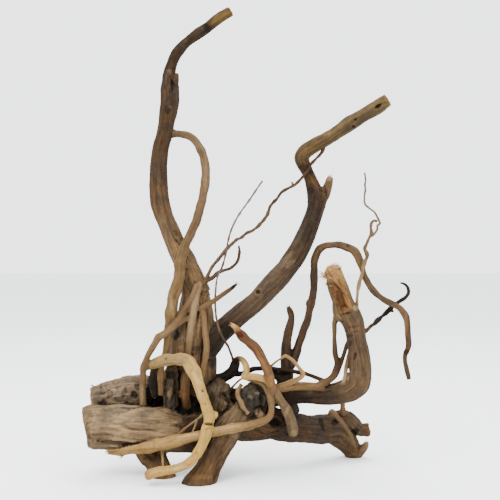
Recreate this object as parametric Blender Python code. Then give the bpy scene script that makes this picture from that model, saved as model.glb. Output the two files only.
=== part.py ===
# Spiderwood root: one grown piece of branching azalea root, standing on the sawn ends of its lower roots.
# It is built as limbs. Each limb is a route of hand-chosen stations with a thickness at each one.
# All limbs are then joined into one solid, and the feet are cut flat where they meet the table.
import math
import random

import bmesh
import bpy
from mathutils import Matrix, Vector

# Driving dimensions, in metres
TALL = 0.474  # finished height of the root
DRAWN_TALL = 474  # the same height in drawing units
UNIT = TALL / DRAWN_TALL

# The root is set out as it is seen from one point in front of it. A station is
# (across, up, depth, radius) in drawing units: across and up are read on the upright plane
# through the middle of the root, and depth is how far behind that plane the wood lies.
EYE_DISTANCE = 800
EYE_HEIGHT = 205
STAND_POINT = (-2.4, 12.6)  # across and depth of the point of the table under the middle of the root

# Fineness of the faceted limbs
CURVE_STEPS = 8  # points on the curve between two stations, from which the rings are chosen
RING_STEP = 1.68  # distance between rings, as a share of the limb's radius
LEAST_STEP = 5.8  # closest that two rings come, in drawing units
SIDES_BY_RADIUS = ((2.4, 5), (4.2, 6), (7.0, 7), (11.0, 10), (17.0, 12), (99.0, 14))
LOBE_DEPTH = 0.07  # how far a limb's section departs from round, as a share of its radius
LOBE_COUNTS = (2, 3)

WOOD_COLOUR = (0.24, 0.155, 0.09, 1.0)
WOOD_ROUGHNESS = 0.85

# The stump: the heavy wood that everything grows from
STUMP = {
    "log": [
        (-165.3, 46, -14, 20), (-159.5, 46.6, -13, 21.8), (-149, 46.6, -12, 22.4), (-132, 46, -9, 23),
        (-110, 45, -6, 23), (-90, 44, -3, 22), (-70, 42, 0, 22), (-50, 43, 3, 21.5), (-30, 46, 5, 18),
    ],
    "log_back": [
        (-159, 76, 8, 10), (-152, 76.5, 10, 12), (-140, 78, 12, 14.5), (-131, 80, 13, 15.5),
        (-119, 82, 14, 16.2), (-108, 82, 17, 16.5), (-96, 79, 21, 14), (-82, 75, 22, 16),
        (-68, 72, 20, 18),
    ],
    "column": [
        (-57, 52, 12, 21), (-57, 72, 14, 22), (-57, 92, 14, 22), (-57.5, 110, 13, 23),
        (-58.5, 125, 12, 23), (-58, 138, 11, 21.8), (-55, 152, 10, 19.5), (-53.5, 166, 9, 17),
        (-54, 180, 8, 14.5), (-57, 195, 8, 13), (-60, 203, 8, 12.5),
    ],
    "heart": [
        (-62, 56, 8, 21), (-42, 58, 8, 21), (-22, 57, 7, 19), (-4, 56, 7, 18), (12, 53, 8, 17),
        (26, 50, 12, 15),
    ],
    "grey_boss": [(-40, 62, 2, 13), (-34, 76, -3, 14.5), (-30, 86, -1, 11), (-27, 92, 2, 6)],
    "round_knot": [(-6, 58, 4, 14), (2, 70, -1, 16), (5, 78, -1, 14.5), (8, 86, 2, 10), (11, 92, 4, 5)],
    "grey_post": [
        (-79, 66, 0, 7.5), (-79, 80, -2, 7.5), (-77, 94, -2, 7), (-76, 108, 0, 7), (-72, 120, 4, 6),
    ],
    "dark_post": [(-101, 105, -3, 3), (-100, 98, 1, 4.2), (-99, 90, 6, 5.2), (-98, 80, 10, 6)],
    "bar_post": [(37, 80, 10, 7), (40.5, 70, 12, 6.8), (43, 60, 17, 7.5)],
    "under_root": [(-18, 44, -4, 10), (-5, 42, 1, 10.6), (9, 43, 7, 10.2), (24, 46, 11, 10)],
    "boss_bridge": [(-30, 75, 6, 7), (-19, 79, 7, 6), (-8, 76, 6, 6.5)],
    "spike_shelf": [(21, 100, 19, 2.8), (28, 97, 20, 4.4), (35, 90, 19, 6)],
    "red_post": [
        (-63, 66, -8, 4), (-64.5, 76, -12, 4), (-65, 86, -13, 4.5), (-64, 97, -12, 5),
        (-60, 108, -8, 5),
    ],
}

# The feet, whose ends are sawn flat on the table
FEET = {
    "front_foot": [
        (-8, 62, 0, 12), (-19, 48, -11, 14), (-27, 34, -19, 14.5), (-35, 20, -26, 13),
        (-41, 8, -31, 12.5), (-46, -2, -34, 14), (-51, -13, -35, 17.5), (-53, -18, -35, 18),
    ],
    "left_foot": [
        (-100, 33, 2, 18), (-98.5, 21, -1, 16), (-94.5, 12, -5, 13.2), (-90.5, 3, -10, 11.8),
        (-88, -5, -12, 13), (-86, -11, -13, 14),
    ],
    "back_foot": [
        (-46, 56, 20, 16), (-42, 42, 34, 12), (-40, 29, 46, 10), (-39, 18, 54, 9.5),
        (-38, 9, 60, 10.5), (-37, 1, 63, 11.5),
    ],
    "lower_limb": [
        (4, 52, 6, 15), (20, 50, 10, 14), (36, 47, 16, 13.8), (50, 45.5, 25, 14), (61, 44.5, 33, 14),
        (72, 44, 42, 14.5), (82, 43, 50, 14), (91, 37, 58, 12.2), (98, 30, 65, 10.5),
        (102, 22, 69, 8.8), (104.5, 13, 71, 7.2),
    ],
    "foot_knob": [
        (84, 55, 50, 6), (90, 59, 50, 6.5), (97, 55.5, 52, 8.2), (104, 49, 55, 7.8),
        (110, 44.8, 58, 7), (119, 44, 60, 6.2),
    ],
    "foot_claw": [
        (100, 24, 66, 8), (105, 21, 67, 6.6), (110, 22.5, 66, 4.8), (115, 27, 65, 3.4),
        (117, 31, 64, 1.8),
    ],
}

# The tall limbs that rise from the stump, and the broken limb on the right
TALL_LIMBS = {
    "left_limb": [
        (-54, 180, 8, 13.5), (-57.5, 195, 8, 12.4), (-64.3, 210, 8, 11.5), (-72, 225, 6, 10.5),
        (-79, 240, 4, 9.8), (-85, 255, 1, 9.3), (-89.5, 270, -2, 9.4), (-91, 285, -4, 9.1),
        (-91, 300, -6, 8.7), (-90.3, 312, -7, 8.4), (-89, 325, -7, 8.5), (-85.5, 338, -5, 8.4),
        (-83.5, 350, -2, 8), (-81.8, 362, 1, 8.7), (-80, 373, 4, 10.2), (-80, 381, 6, 9.9),
        (-80.6, 391, 9, 7.9), (-80.8, 400, 11, 6.1), (-77.8, 410, 13, 5.3), (-73.5, 419, 15, 5.2),
        (-66, 428, 18, 5.1), (-55, 437, 21, 5.1), (-42, 446, 25, 5.2), (-30, 455, 28, 5),
        (-20.5, 460.5, 30, 4.6),
    ],
    "left_nub": [(-78, 383, 5, 6), (-75, 391, 4, 4), (-73.6, 396, 3, 2.8), (-72.8, 400, 3, 1.4)],
    "right_limb": [
        (-48, 122, 8, 15), (-36, 136, 11, 12.8), (-18, 151.5, 16, 10.5), (-4, 163, 20, 10.1),
        (8, 174, 24, 10.2), (18, 184, 27, 10.5), (29, 196, 29, 10.6), (38.3, 207, 30, 10.5),
        (47, 220.5, 31, 10.1), (55.6, 236, 32, 9.8), (61.6, 250, 32, 9), (65.3, 262, 31, 8.6),
        (66.5, 272, 30, 9.5), (64.5, 282, 29, 7.6), (61, 292, 28, 6.4), (57.3, 301, 27, 6.2),
        (53.3, 309, 26, 6.3), (51.5, 315.5, 25, 7), (55, 321.5, 23, 7.2), (63, 326.5, 20, 7),
        (75, 333, 15, 6.9), (88, 341.5, 10, 7.1), (100, 349.8, 5, 7.4), (112, 357, 0, 6.7),
        (122, 362.8, -4, 6.9), (131, 368.5, -8, 7), (138, 373.3, -11, 6.2),
    ],
    "right_nub": [(70, 272, 29, 6.5), (74.5, 280, 27, 5.6), (78, 287.5, 25, 4), (79, 293.5, 24, 3.1)],
    "arm": [
        (10, 76, 4, 12), (28, 78, 6, 10.5), (44, 79, 8, 9.5), (60, 80, 9, 10), (75, 78.6, 8, 10.8),
        (89, 80, 3, 11), (99.5, 83.5, -3, 12.3), (107, 90, -7, 12.3), (110, 100, -9, 10.6),
        (110, 110, -10, 10.2), (109.4, 120, -10, 10.4), (107.3, 130, -10, 10.6),
        (105.7, 140, -10, 10.6), (103.5, 150, -10, 11), (99, 160, -11, 11.4), (95.5, 168, -12, 10.6),
        (92, 177, -13, 9.8), (88.5, 187, -15, 9.2), (85.6, 196, -17, 8), (83.4, 202.5, -19, 6.6),
        (83, 206.5, -20, 4.6),
    ],
    "stub_lip": [(97, 158, -12, 9), (91, 157, -12, 7), (88, 161, -12, 6), (86, 170, -13, 4)],
    "dark_arm": [
        (-42, 86, 16, 10), (-34, 91.5, 16, 7), (-25.5, 96, 13, 4.9), (-18, 101.5, 9, 5.3),
        (-14.5, 109, 5, 5), (-13.5, 114, 3, 3),
    ],
    "spike": [
        (30, 82, 16, 7), (35, 90, 20, 7.5), (37, 100, 23, 6.6), (36.7, 110, 24, 6), (36, 120, 24, 5.4),
        (36.5, 130, 24, 5), (38.3, 140, 24, 4.4), (40.5, 150, 23, 3.6), (41, 158, 23, 3.3),
        (39.4, 163, 23, 2.8), (38.2, 166.5, 23, 1.8),
    ],
}

# Roots as thick as a finger or a pencil, which loop and lie over the heavy wood
ROOTS = {
    "loop_root": [
        (-84, 338, -5, 4.2), (-77, 339, -4, 3.7), (-70, 339, -2, 3.5), (-62, 337.3, 0, 3.7),
        (-55, 332, 2, 3.8), (-49.5, 324, 3, 4), (-46, 314, 4, 4.1), (-44.3, 303, 4, 4.2),
        (-44.5, 292, 3, 4.2), (-46.5, 280, 2, 4.3), (-49, 268, 0, 4.3), (-52.5, 256, -3, 4.4),
        (-56.5, 246, -5, 4.4), (-60.5, 237, -7, 4.5), (-64.3, 229, -7, 4.7), (-67, 220, -7, 5.2),
        (-69.7, 210, -8, 5.6), (-71, 200, -9, 5.7), (-72.5, 190, -9, 5.8), (-75, 180, -9, 6),
        (-77.7, 170, -9, 5.8), (-79.5, 160, -9, 5.6), (-80.3, 150, -9, 4.9), (-82, 140, -9, 4),
        (-83.3, 130, -9, 3.4), (-85, 120, -9, 3.4), (-87.3, 111, -9, 3.5), (-89, 100, -8, 3.5),
        (-89.3, 90, -6, 3.1), (-88.5, 78, -3, 3),
    ],
    "rising_root": [
        (-107, 58, -2, 3.4), (-107, 70, -5, 3.3), (-107.5, 82, -8, 3.1), (-107.5, 95, -11, 3.1),
        (-106.3, 105, -14, 3.2), (-103.5, 114, -16, 3.1), (-99.5, 122, -17, 3.1),
        (-95.3, 129.3, -18, 3.2), (-91.3, 135.8, -18, 3.5), (-85.5, 139.2, -18, 3.5),
        (-80, 143.3, -17, 3.8), (-74.5, 149, -15, 3.8), (-69.5, 156, -12, 3.6), (-65, 163, -10, 3.4),
        (-60.5, 171, -8, 3.3), (-56.5, 179, -7, 3.1), (-52.5, 188, -5, 2.8),
    ],
    "rising_fork": [
        (-78, 145, -16, 3.2), (-70, 150.3, -14, 2.5), (-64.5, 154, -11, 2.3), (-58, 157, -7, 2.2),
    ],
    "column_rib": [
        (-50, 190, -3, 2.6), (-53.5, 176, -7, 3.2), (-57, 160, -9, 3.6), (-59, 145, -10, 3.8),
        (-61, 130, -10.5, 3.8), (-62, 116, -10, 3.4),
    ],
    "loose_rib": [
        (-48, 166, -5, 2.8), (-45.7, 152, -9, 2.8), (-44.5, 140, -12, 2.9), (-43.6, 130, -13, 3.1),
        (-44, 120, -14, 3.2), (-45.5, 110, -14, 3), (-47, 101, -13, 2.6), (-50, 90, -11, 2.6),
    ],
    "pale_arch": [
        (-104, 107, -10, 3.4), (-100, 107.5, -12, 4.3), (-93, 110.5, -15, 5.2), (-85, 113.3, -18, 5.9),
        (-75, 114, -21, 6), (-65.5, 113.3, -24, 6.4), (-60, 109, -27, 6.8), (-56.3, 101, -30, 6.6),
        (-52.6, 92, -32, 5.9), (-49.5, 83, -33, 5.3), (-46.5, 74, -33, 5.1), (-43.5, 65, -33, 5.2),
        (-41, 57.5, -33, 5.9), (-41.2, 50.5, -35, 5), (-42.3, 45.5, -37, 5.6), (-44, 38, -40, 5.6),
        (-47, 30, -43, 5.2), (-51, 22, -46, 5), (-56, 14.7, -48, 4.7), (-63, 8.7, -49, 4.4),
        (-72, 5, -49, 4.3), (-82, 3, -48, 4.5), (-92, 1.3, -47, 4.9), (-99, -1, -46, 5.3),
        (-104, -3, -45, 4.6),
    ],
    "arch_knuckle": [(-41, 57, -32, 4.6), (-36.5, 57.5, -30, 4.8), (-33.5, 56.5, -29, 3.8)],
    "floor_strip": [
        (-141.5, 22, -18, 3.6), (-130, 22.6, -19, 4.9), (-118, 24.6, -20, 6), (-105, 26.5, -22, 6.6),
        (-92, 28.6, -24, 6.6), (-80, 30.9, -26, 6), (-68, 33.6, -29, 5.3), (-56, 36.5, -32, 4.6),
        (-45, 39, -33, 4.6), (-32, 41.5, -34, 4.7), (-18, 44.5, -33, 4.8), (-5, 46.7, -29, 4.6),
        (8, 50, -24, 3.9), (15.5, 53, -20, 3.1), (20.3, 58, -17, 2.9), (21.2, 66, -15, 3.2),
        (20, 75, -15, 3.1), (17, 83, -14, 2.9), (13, 89, -12, 2.7), (5, 92.5, -9, 2.5),
        (-3, 94, -7, 2.4),
    ],
    "snag_root": [
        (-19, 148.5, -14, 1.6), (-15, 146, -15, 2.8), (-12, 141.5, -16, 3.9), (-8.5, 137.5, -17, 4.6),
        (-2, 131.5, -19, 5), (5, 125, -21, 5), (11, 116.5, -22, 4.7), (15.5, 108, -22, 4.6),
        (18.5, 99, -21, 4.8), (20.5, 90, -18, 4.8), (22.5, 82, -14, 5), (23, 72, -7, 5),
    ],
    "cream_root": [
        (-8, 97, -10, 3), (-3, 96, -12, 3.3), (5, 96.3, -16, 3.3), (12, 94.5, -18, 3.3),
        (18, 91, -18, 3),
    ],
    "small_hook": [
        (-15.5, 110, 4, 3.6), (-12, 114, -2, 2.9), (-7.5, 113, -6, 2.9), (-4.4, 107.5, -9, 2.9),
        (-3.6, 101, -11, 3), (-5, 95, -12, 3.2),
    ],
    "back_rod": [
        (-20, 99, 10, 3), (-8, 99.6, 11, 2.2), (4, 104, 13, 2.2), (15, 104.6, 14, 2.2),
        (28, 103.4, 14, 2.2), (40, 102, 14, 2.1), (50, 100.5, 12, 2.1), (60, 98, 9, 2),
        (68, 94.6, 6, 2), (76, 91.5, 3, 2.4),
    ],
    "lift_root": [
        (60, 84, 2, 3.4), (70, 88.5, 1, 3.6), (77, 92, 0, 3.5), (82.5, 96, -1, 3.5),
        (86, 101.5, -1, 3.5), (87.6, 108, -1, 3.2), (86.6, 113, -2, 2.7), (85.4, 119, -3, 2.5),
        (84.8, 128, -4, 2.2), (84.4, 140, -6, 2.2), (84.6, 150, -8, 2.4), (86.5, 160, -10, 2.8),
    ],
    "lift_fork": [
        (87, 103, -1, 3), (91, 110.5, -1, 2.3), (94, 119, -2, 2), (96.8, 128, -3, 2),
        (100, 135, -5, 2),
    ],
    "stub_sliver": [
        (94.5, 91, -7, 3), (95.2, 98, -9, 1.9), (96.3, 106, -9, 1.7), (97.7, 114, -9, 1.6),
        (100, 122, -10, 1.6),
    ],
    "saddle_root": [
        (20, 82, -10, 4), (30, 85, -8, 4.4), (40, 86.6, -5, 4.4), (52, 86.6, -2, 4.2),
        (64, 86.5, 0, 3.6), (74, 85, 1, 3),
    ],
    "ring_root": [
        (18, 104, -20, 1.1), (25, 110.3, -17, 1), (31, 114.5, -14, 1.1), (35.5, 117, -12, 1.6),
        (41, 114, -11, 1.8), (46, 109, -11, 1.8), (50.3, 103.5, -12, 1.8), (53, 99, -12, 1.9),
        (50, 95.4, -12, 2.1), (44, 92, -11, 2.5), (37, 89, -10, 2.7), (30, 86.5, -10, 3),
    ],
    "leaf_root": [
        (24, 84, -13, 3.6), (28, 77, -13, 4.1), (33, 69, -12, 4.5), (38, 60, -9, 5), (41, 50, -5, 5.2),
        (43, 42.5, -1, 5.5), (43.3, 38, 2, 4.4),
    ],
    "arch_root": [
        (37, 100, 22, 5), (41, 109, 24, 4.8), (46.3, 120, 26, 4.4), (49.3, 130, 27, 4.3),
        (52.8, 140, 28, 4), (56.4, 150, 29, 3.8), (58.9, 160, 30, 3.5), (61, 170, 31, 3.9),
        (63.2, 180, 32, 3.7), (63.9, 190, 33, 3.7), (63.9, 200, 33, 3.5), (64.2, 210, 33, 3.7),
        (65.7, 217, 33, 3.8), (69, 223.3, 32, 3.7), (75, 227.2, 30, 3.3), (82, 228, 27, 3.1),
        (90, 227.9, 24, 3.4), (97, 225.6, 21, 3.5), (103.2, 223, 18, 3.7), (107.2, 218.3, 15, 3.9),
        (109.7, 212, 13, 3.5), (112, 205, 11, 3.2), (114.7, 197, 8, 3.3), (118.3, 189.5, 6, 3.4),
        (123.3, 182.5, 4, 3.3), (129, 177, 2, 3.2), (135.5, 172.4, 0, 3.2), (142, 169.3, -3, 3),
        (148, 166.3, -5, 3), (153, 161.3, -8, 3), (156.4, 155, -10, 3), (157.4, 147, -12, 2.9),
        (158, 138, -13, 2.8), (158.8, 130, -14, 2.9), (158, 124.5, -14, 2.6), (155.4, 119, -14, 2.2),
        (155, 112, -14, 2.1), (156.5, 104, -14, 2.2), (158.3, 97, -14, 2.2), (159, 93.3, -14, 1.9),
    ],
    "limb_strip": [
        (80, 61, 50, 2.6), (85, 57.5, 46, 3.2), (91, 50, 46, 3.5), (96.5, 42, 49, 3.5),
        (101, 34, 54, 3.2), (104, 26, 60, 3),
    ],
    "link_post": [(92.5, 76, 4, 3), (92.6, 70, 14, 2.4), (92.6, 65, 28, 2.4), (93, 60, 42, 3.4)],
    "back_root": [
        (-118, 52, 16, 5), (-108, 60, 24, 5), (-98, 72, 31, 4.8), (-88, 88, 35, 4.6),
        (-79, 106, 37, 4.5), (-71, 124, 35, 4.3), (-63, 140, 32, 4.2), (-56, 156, 27, 4),
        (-52, 170, 21, 3.6), (-51, 182, 16, 3),
    ],
    "back_runner": [
        (-50, 88, 28, 5), (-36, 80, 32, 4.8), (-20, 73, 30, 4.6), (-3, 67, 28, 4.8), (14, 62, 29, 4.8),
        (30, 58, 33, 4.6), (46, 56, 39, 4.2),
    ],
    "side_stub": [
        (-54, 161, 0, 4), (-46, 165.5, -7, 3.3), (-37, 171.5, -12, 2.6), (-29, 177, -16, 2.3),
        (-22, 182, -18, 2.2), (-16.5, 186.3, -19, 1.8), (-13, 189.3, -20, 0.8),
    ],
}

# Rootlets, thinner than a pencil lead to about two leads thick
ROOTLETS = {
    "wandering_twig": [
        (-50, 186, 2, 2.2), (-45.5, 192, -2, 1.9), (-41, 200, -5, 1.5), (-35.5, 209, -7, 1.5),
        (-29.5, 216, -9, 1.5), (-24.5, 223, -10.5, 1.7), (-19, 228, -10, 1.5), (-13.5, 233.3, -8, 1.5),
        (-8, 235.5, -6, 1.5), (-3, 240, -3, 1.3), (4, 243.5, 1, 1.3), (10, 248.5, 5, 1.5),
        (15, 255, 9, 1.5), (18.3, 261, 12, 1.5), (20.5, 267, 14, 1.3), (26, 273.5, 17, 1.3),
        (31, 280, 19, 1.3), (38, 284.5, 20, 1.2), (44.5, 288, 20, 1.2), (50, 293, 20, 1.2),
        (55, 298.5, 20.3, 1.2), (58.7, 303.5, 20.5, 1.2), (62, 309.7, 20, 1.2), (66, 314, 18.5, 1.3),
        (70.5, 318.7, 17, 1.4), (74.5, 327, 15, 1.9),
    ],
    "twig_spur": [(43.5, 287.5, 20, 1.1), (42.2, 289.5, 19.4, 0.8), (41.7, 291.5, 19, 0.6)],
    "curved_twig": [
        (-48, 189, 2, 2.2), (-44, 192, -2, 2), (-38, 195.3, -6, 1.9), (-32, 200.5, -9, 1.6),
        (-26, 202.7, -10, 1.5), (-19.5, 204.7, -10, 1.4), (-14, 209.5, -9, 1.4), (-11.3, 216, -8, 1.3),
        (-10.5, 222, -7, 1.2), (-11.3, 227.3, -6, 0.8),
    ],
    "whisker": [
        (12.8, 292, -14, 0.9), (11, 289.8, -14, 0.8), (0, 274, -15, 0.7), (-10, 260, -15, 0.75),
        (-17, 247, -14, 0.75), (-21, 235, -13, 0.75), (-24, 220, -12, 0.75), (-28, 206, -11, 0.75),
        (-32, 198, -11, 0.75), (-34, 187, -12, 0.7), (-34.8, 176, -13, 0.75), (-34.5, 163, -13, 0.8),
        (-32.5, 149, -12, 0.9), (-28.5, 138, -8, 0.9), (-24, 130, -4, 0.9), (-20, 122, 0, 0.95),
        (-17.3, 115, 3, 1.1), (-16, 108, 5, 1.2),
    ],
    "curling_twig": [
        (107, 154, -10, 3.2), (107, 161, -9, 2.4), (107, 168, -8, 1.5), (107, 175, -6, 1.3),
        (108, 183, -3, 1.4), (109.5, 190, 0, 1.5), (111.5, 198, 4, 1.7), (112.7, 205, 7, 2),
        (114, 211, 7.5, 2), (116.7, 215, 6, 1.8), (117, 219, 5, 1.6), (114.6, 224, 4, 1.7),
        (116, 228.3, 3, 1.4), (118.3, 233, 3, 1.5), (121, 238.3, 3, 1.5), (120.6, 246, 1, 1.4),
        (121.6, 250.6, 0, 1.2), (124.2, 252.6, 0, 1), (127, 251.3, 1, 0.9),
    ],
    "curl_tip": [
        (120.3, 236.8, 3, 1.4), (124.5, 239.3, 3, 1), (127.4, 243.5, 3, 0.9), (127.4, 247.5, 2, 0.9),
        (129.7, 249.3, 1, 1), (128.5, 253, 1, 0.85), (126.5, 257.5, 1, 0.8), (124.3, 261, 0, 0.8),
        (120, 264, 0, 0.75), (116, 267.5, 0, 0.8), (114.5, 271, 0, 0.75), (114.7, 277, 0, 0.75),
        (115.5, 283, 0, 0.75), (114.8, 288, 0, 0.7), (115.5, 293.5, 0, 0.65), (114.6, 300.5, 0, 0.55),
    ],
    "hooked_twig": [
        (110, 138, -6, 3), (115, 142, -2, 2.1), (120, 146.3, 2, 1.9), (127, 151.3, 6, 2),
        (133, 157, 9, 2.2), (138.7, 162.7, 10, 2.4), (142.5, 167, 10, 1.9), (148.5, 170.6, 8, 1.4),
        (154, 174.3, 5, 1.5), (157.8, 178.7, 2, 1.5), (158.5, 184, 0, 1.4), (156.3, 187.8, 0, 1.2),
        (152.6, 189.8, 0, 0.8), (150, 190.2, 0, 0.5),
    ],
    "hook_spur": [(138.5, 163.5, 10, 1.6), (141.5, 162.3, 9, 1.3), (144, 161.4, 9, 0.6)],
    "log_whisker": [
        (-76, 35, -24, 1), (-69, 41, -25, 0.9), (-61, 47.5, -25, 0.9), (-53, 53, -24, 1),
        (-46, 60, -27, 1),
    ],
    "log_hair": [(-58, 40, -29, 0.9), (-55, 46.5, -28, 0.7), (-52.5, 54, -24.5, 0.8)],
    "drip_root": [
        (-88.5, 27, -20, 1.2), (-88, 19, -21, 1.1), (-87.3, 12, -23, 0.9), (-87, 6, -28, 0.8),
    ],
    "gap_hair": [(-19.5, 84, 0, 1.1), (-15, 88.5, -2, 0.8), (-11.5, 92, -5, 0.8), (-7, 95.5, -9, 0.9)],
    "knot_rim": [
        (-9, 89, -1, 2), (-11.5, 82, -4, 2.3), (-11.3, 75, -8, 2.4), (-7, 67, -12, 2.5),
        (-1, 60, -13, 2.7),
    ],
}


def placed(across, up, depth):
    """A point of the drawing, moved along its line of sight to its own depth, in metres."""
    reach = 1 + depth / EYE_DISTANCE
    x = across * reach - STAND_POINT[0]
    y = depth - STAND_POINT[1]
    z = EYE_HEIGHT + (up - EYE_HEIGHT) * reach
    return Vector((x, y, z)) * UNIT


def smooth_route(stations):
    """Centres and radii along a smooth curve through the stations, closer together on thin limbs."""
    centres = [placed(*s[:3]) for s in stations]
    radii = [s[3] * (1 + s[2] / EYE_DISTANCE) * UNIT for s in stations]
    points = [2 * centres[0] - centres[1], *centres, 2 * centres[-1] - centres[-2]]
    fine = [(centres[0], radii[0])]
    for i in range(len(centres) - 1):
        before, start, end, after = points[i : i + 4]
        for k in range(1, CURVE_STEPS + 1):
            t = k / CURVE_STEPS
            bend = (
                2 * start
                + (end - before) * t
                + (2 * before - 5 * start + 4 * end - after) * t**2
                + (3 * start - before - 3 * end + after) * t**3
            ) / 2
            fine.append((bend, radii[i] + (radii[i + 1] - radii[i]) * t))

    route = [fine[0]]
    travelled = 0.0
    for (last, _), (centre, radius) in zip(fine, fine[1:]):
        travelled += (centre - last).length
        step = max(RING_STEP * radius, LEAST_STEP * UNIT)
        if travelled >= step:
            route.append((centre, radius))
            travelled = 0.0
    if travelled > LEAST_STEP * UNIT / 2 or len(route) == 1:
        route.append(fine[-1])
    else:
        route[-1] = fine[-1]
    return route


def sides_for(radius):
    for limit, sides in SIDES_BY_RADIUS:
        if radius <= limit * UNIT:
            return sides
    return SIDES_BY_RADIUS[-1][1]


def limb(name, stations, collection):
    """One limb: rings carried along its route without twisting, slightly lobed, with flat ends."""
    route = smooth_route(stations)
    sides = sides_for(max(radius for _, radius in route))
    draw = random.Random(name)
    phases = [draw.uniform(0, math.tau) for _ in LOBE_COUNTS]
    drift = draw.uniform(-0.5, 0.5) / (24 * UNIT)

    work = bmesh.new()
    rings = []
    forward = (route[1][0] - route[0][0]).normalized()
    out = forward.orthogonal().normalized()
    travelled = 0.0
    for i, (centre, radius) in enumerate(route):
        ahead = route[min(i + 1, len(route) - 1)][0] - route[max(i - 1, 0)][0]
        ahead.normalize()
        out = (out - ahead * out.dot(ahead)).normalized()
        side = ahead.cross(out)
        if i:
            travelled += (centre - route[i - 1][0]).length
        ring = []
        for k in range(sides):
            angle = math.tau * k / sides
            lobe = sum(
                math.cos(count * angle + phase + drift * travelled)
                for count, phase in zip(LOBE_COUNTS, phases)
            )
            reach = radius * (1 + LOBE_DEPTH * lobe / len(LOBE_COUNTS))
            ring.append(work.verts.new(centre + (out * math.cos(angle) + side * math.sin(angle)) * reach))
        rings.append(ring)
    for first, second in zip(rings, rings[1:]):
        for k in range(sides):
            after = (k + 1) % sides
            work.faces.new((first[k], first[after], second[after], second[k]))
    work.faces.new(rings[0][::-1])
    work.faces.new(rings[-1])

    mesh = bpy.data.meshes.new(name)
    work.to_mesh(mesh)
    work.free()
    made = bpy.data.objects.new(name, mesh)
    collection.objects.link(made)
    return made


def apply_boolean(target, operation, **settings):
    """Joins or cuts the target, and keeps the result as its mesh."""
    cut = target.modifiers.new(operation.lower(), "BOOLEAN")
    cut.operation = operation
    for name, value in settings.items():
        setattr(cut, name, value)
    bpy.context.view_layer.update()
    graph = bpy.context.evaluated_depsgraph_get()
    result = bpy.data.meshes.new_from_object(target.evaluated_get(graph))
    target.modifiers.clear()
    target.data = result


def table_cutter():
    """The space under the table, which trims the feet flat."""
    bpy.ops.mesh.primitive_cube_add(size=1, location=(0, 0, -0.05))
    cutter = bpy.context.active_object
    cutter.name = "under_the_table"
    cutter.scale = (0.6, 0.6, 0.1)
    bpy.ops.object.transform_apply(location=True, scale=True)
    cutter.hide_render = True
    cutter.display_type = "WIRE"
    return cutter


def wood_material():
    wood = bpy.data.materials.new("root_wood")
    wood.use_nodes = True
    shader = wood.node_tree.nodes["Principled BSDF"]
    shader.inputs["Base Color"].default_value = WOOD_COLOUR
    shader.inputs["Roughness"].default_value = WOOD_ROUGHNESS
    return wood


def build():
    for old in list(bpy.data.objects):
        bpy.data.objects.remove(old)
    scene = bpy.context.scene.collection

    growth = bpy.data.collections.new("growth")
    scene.children.link(growth)
    every_limb = {**STUMP, **FEET, **TALL_LIMBS, **ROOTS, **ROOTLETS}
    names = list(every_limb)
    root = limb("spiderwood_root", every_limb[names[0]], scene)
    for name in names[1:]:
        limb(name, every_limb[name], growth)

    apply_boolean(root, "UNION", solver="MANIFOLD", operand_type="COLLECTION", collection=growth)
    for piece in list(growth.objects):
        bpy.data.objects.remove(piece)
    bpy.data.collections.remove(growth)

    cutter = table_cutter()
    apply_boolean(root, "DIFFERENCE", solver="MANIFOLD", object=cutter)
    bpy.data.objects.remove(cutter)

    corners = [Vector(corner) for corner in root.bound_box]
    middle = sum(corners, Vector()) / len(corners)
    foot = min(corner.z for corner in corners)
    root.data.transform(Matrix.Translation((-middle.x, -middle.y, -foot)))

    root.data.materials.clear()
    root.data.materials.append(wood_material())
    root.data.shade_smooth()
    root.data.set_sharp_from_angle(angle=math.radians(50))
    return root


build()
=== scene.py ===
# %% [markdown]
# Spiderwood is the root of a mountain azalea, dug up, washed and dried. It stands on the sawn ends of its
# lower roots. A heavy stump lies low, two limbs as thick as a thumb rise from it, and thinner roots loop
# over and through the rest. The wood is bare in some places, barked in others, and grooved all along.
# We load the plain CAD root as a fixed frame, then grow a finer root in the same place.

import math
import random

import bpy
import numpy as np
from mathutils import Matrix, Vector, noise


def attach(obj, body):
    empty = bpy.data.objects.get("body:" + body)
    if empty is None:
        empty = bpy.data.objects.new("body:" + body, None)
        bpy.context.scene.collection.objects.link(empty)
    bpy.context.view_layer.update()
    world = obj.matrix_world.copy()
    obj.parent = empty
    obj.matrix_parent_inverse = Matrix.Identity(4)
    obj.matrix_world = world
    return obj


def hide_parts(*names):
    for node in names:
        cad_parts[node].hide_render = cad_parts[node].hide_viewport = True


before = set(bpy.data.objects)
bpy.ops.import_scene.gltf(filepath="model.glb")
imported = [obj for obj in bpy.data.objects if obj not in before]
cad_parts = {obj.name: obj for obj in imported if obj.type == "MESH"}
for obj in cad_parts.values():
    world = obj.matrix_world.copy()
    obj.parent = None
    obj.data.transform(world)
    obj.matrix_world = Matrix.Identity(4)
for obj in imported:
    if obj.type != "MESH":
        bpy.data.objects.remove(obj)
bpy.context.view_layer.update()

# %% [markdown]
# A root has no straight edges to measure from, so it is set out as a draughtsman would do it: as seen from
# one point in front. A station is (across, up, depth, radius). Across and up are read on the upright plane
# through the root's middle, and depth is how far behind that plane the wood lies. Stations could also be
# given as true places, but then each guess at a depth would move the limb away from where it is seen. The
# helpers below turn a station into a true place, by moving it along its line of sight, and back again.

# %% Setting out
UNIT = 0.001  # one drawing unit, in metres
EYE_DISTANCE = 800
EYE_HEIGHT = 205
STAND_POINT = (-2.4, 12.6)  # across and depth of the frame's origin


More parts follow.
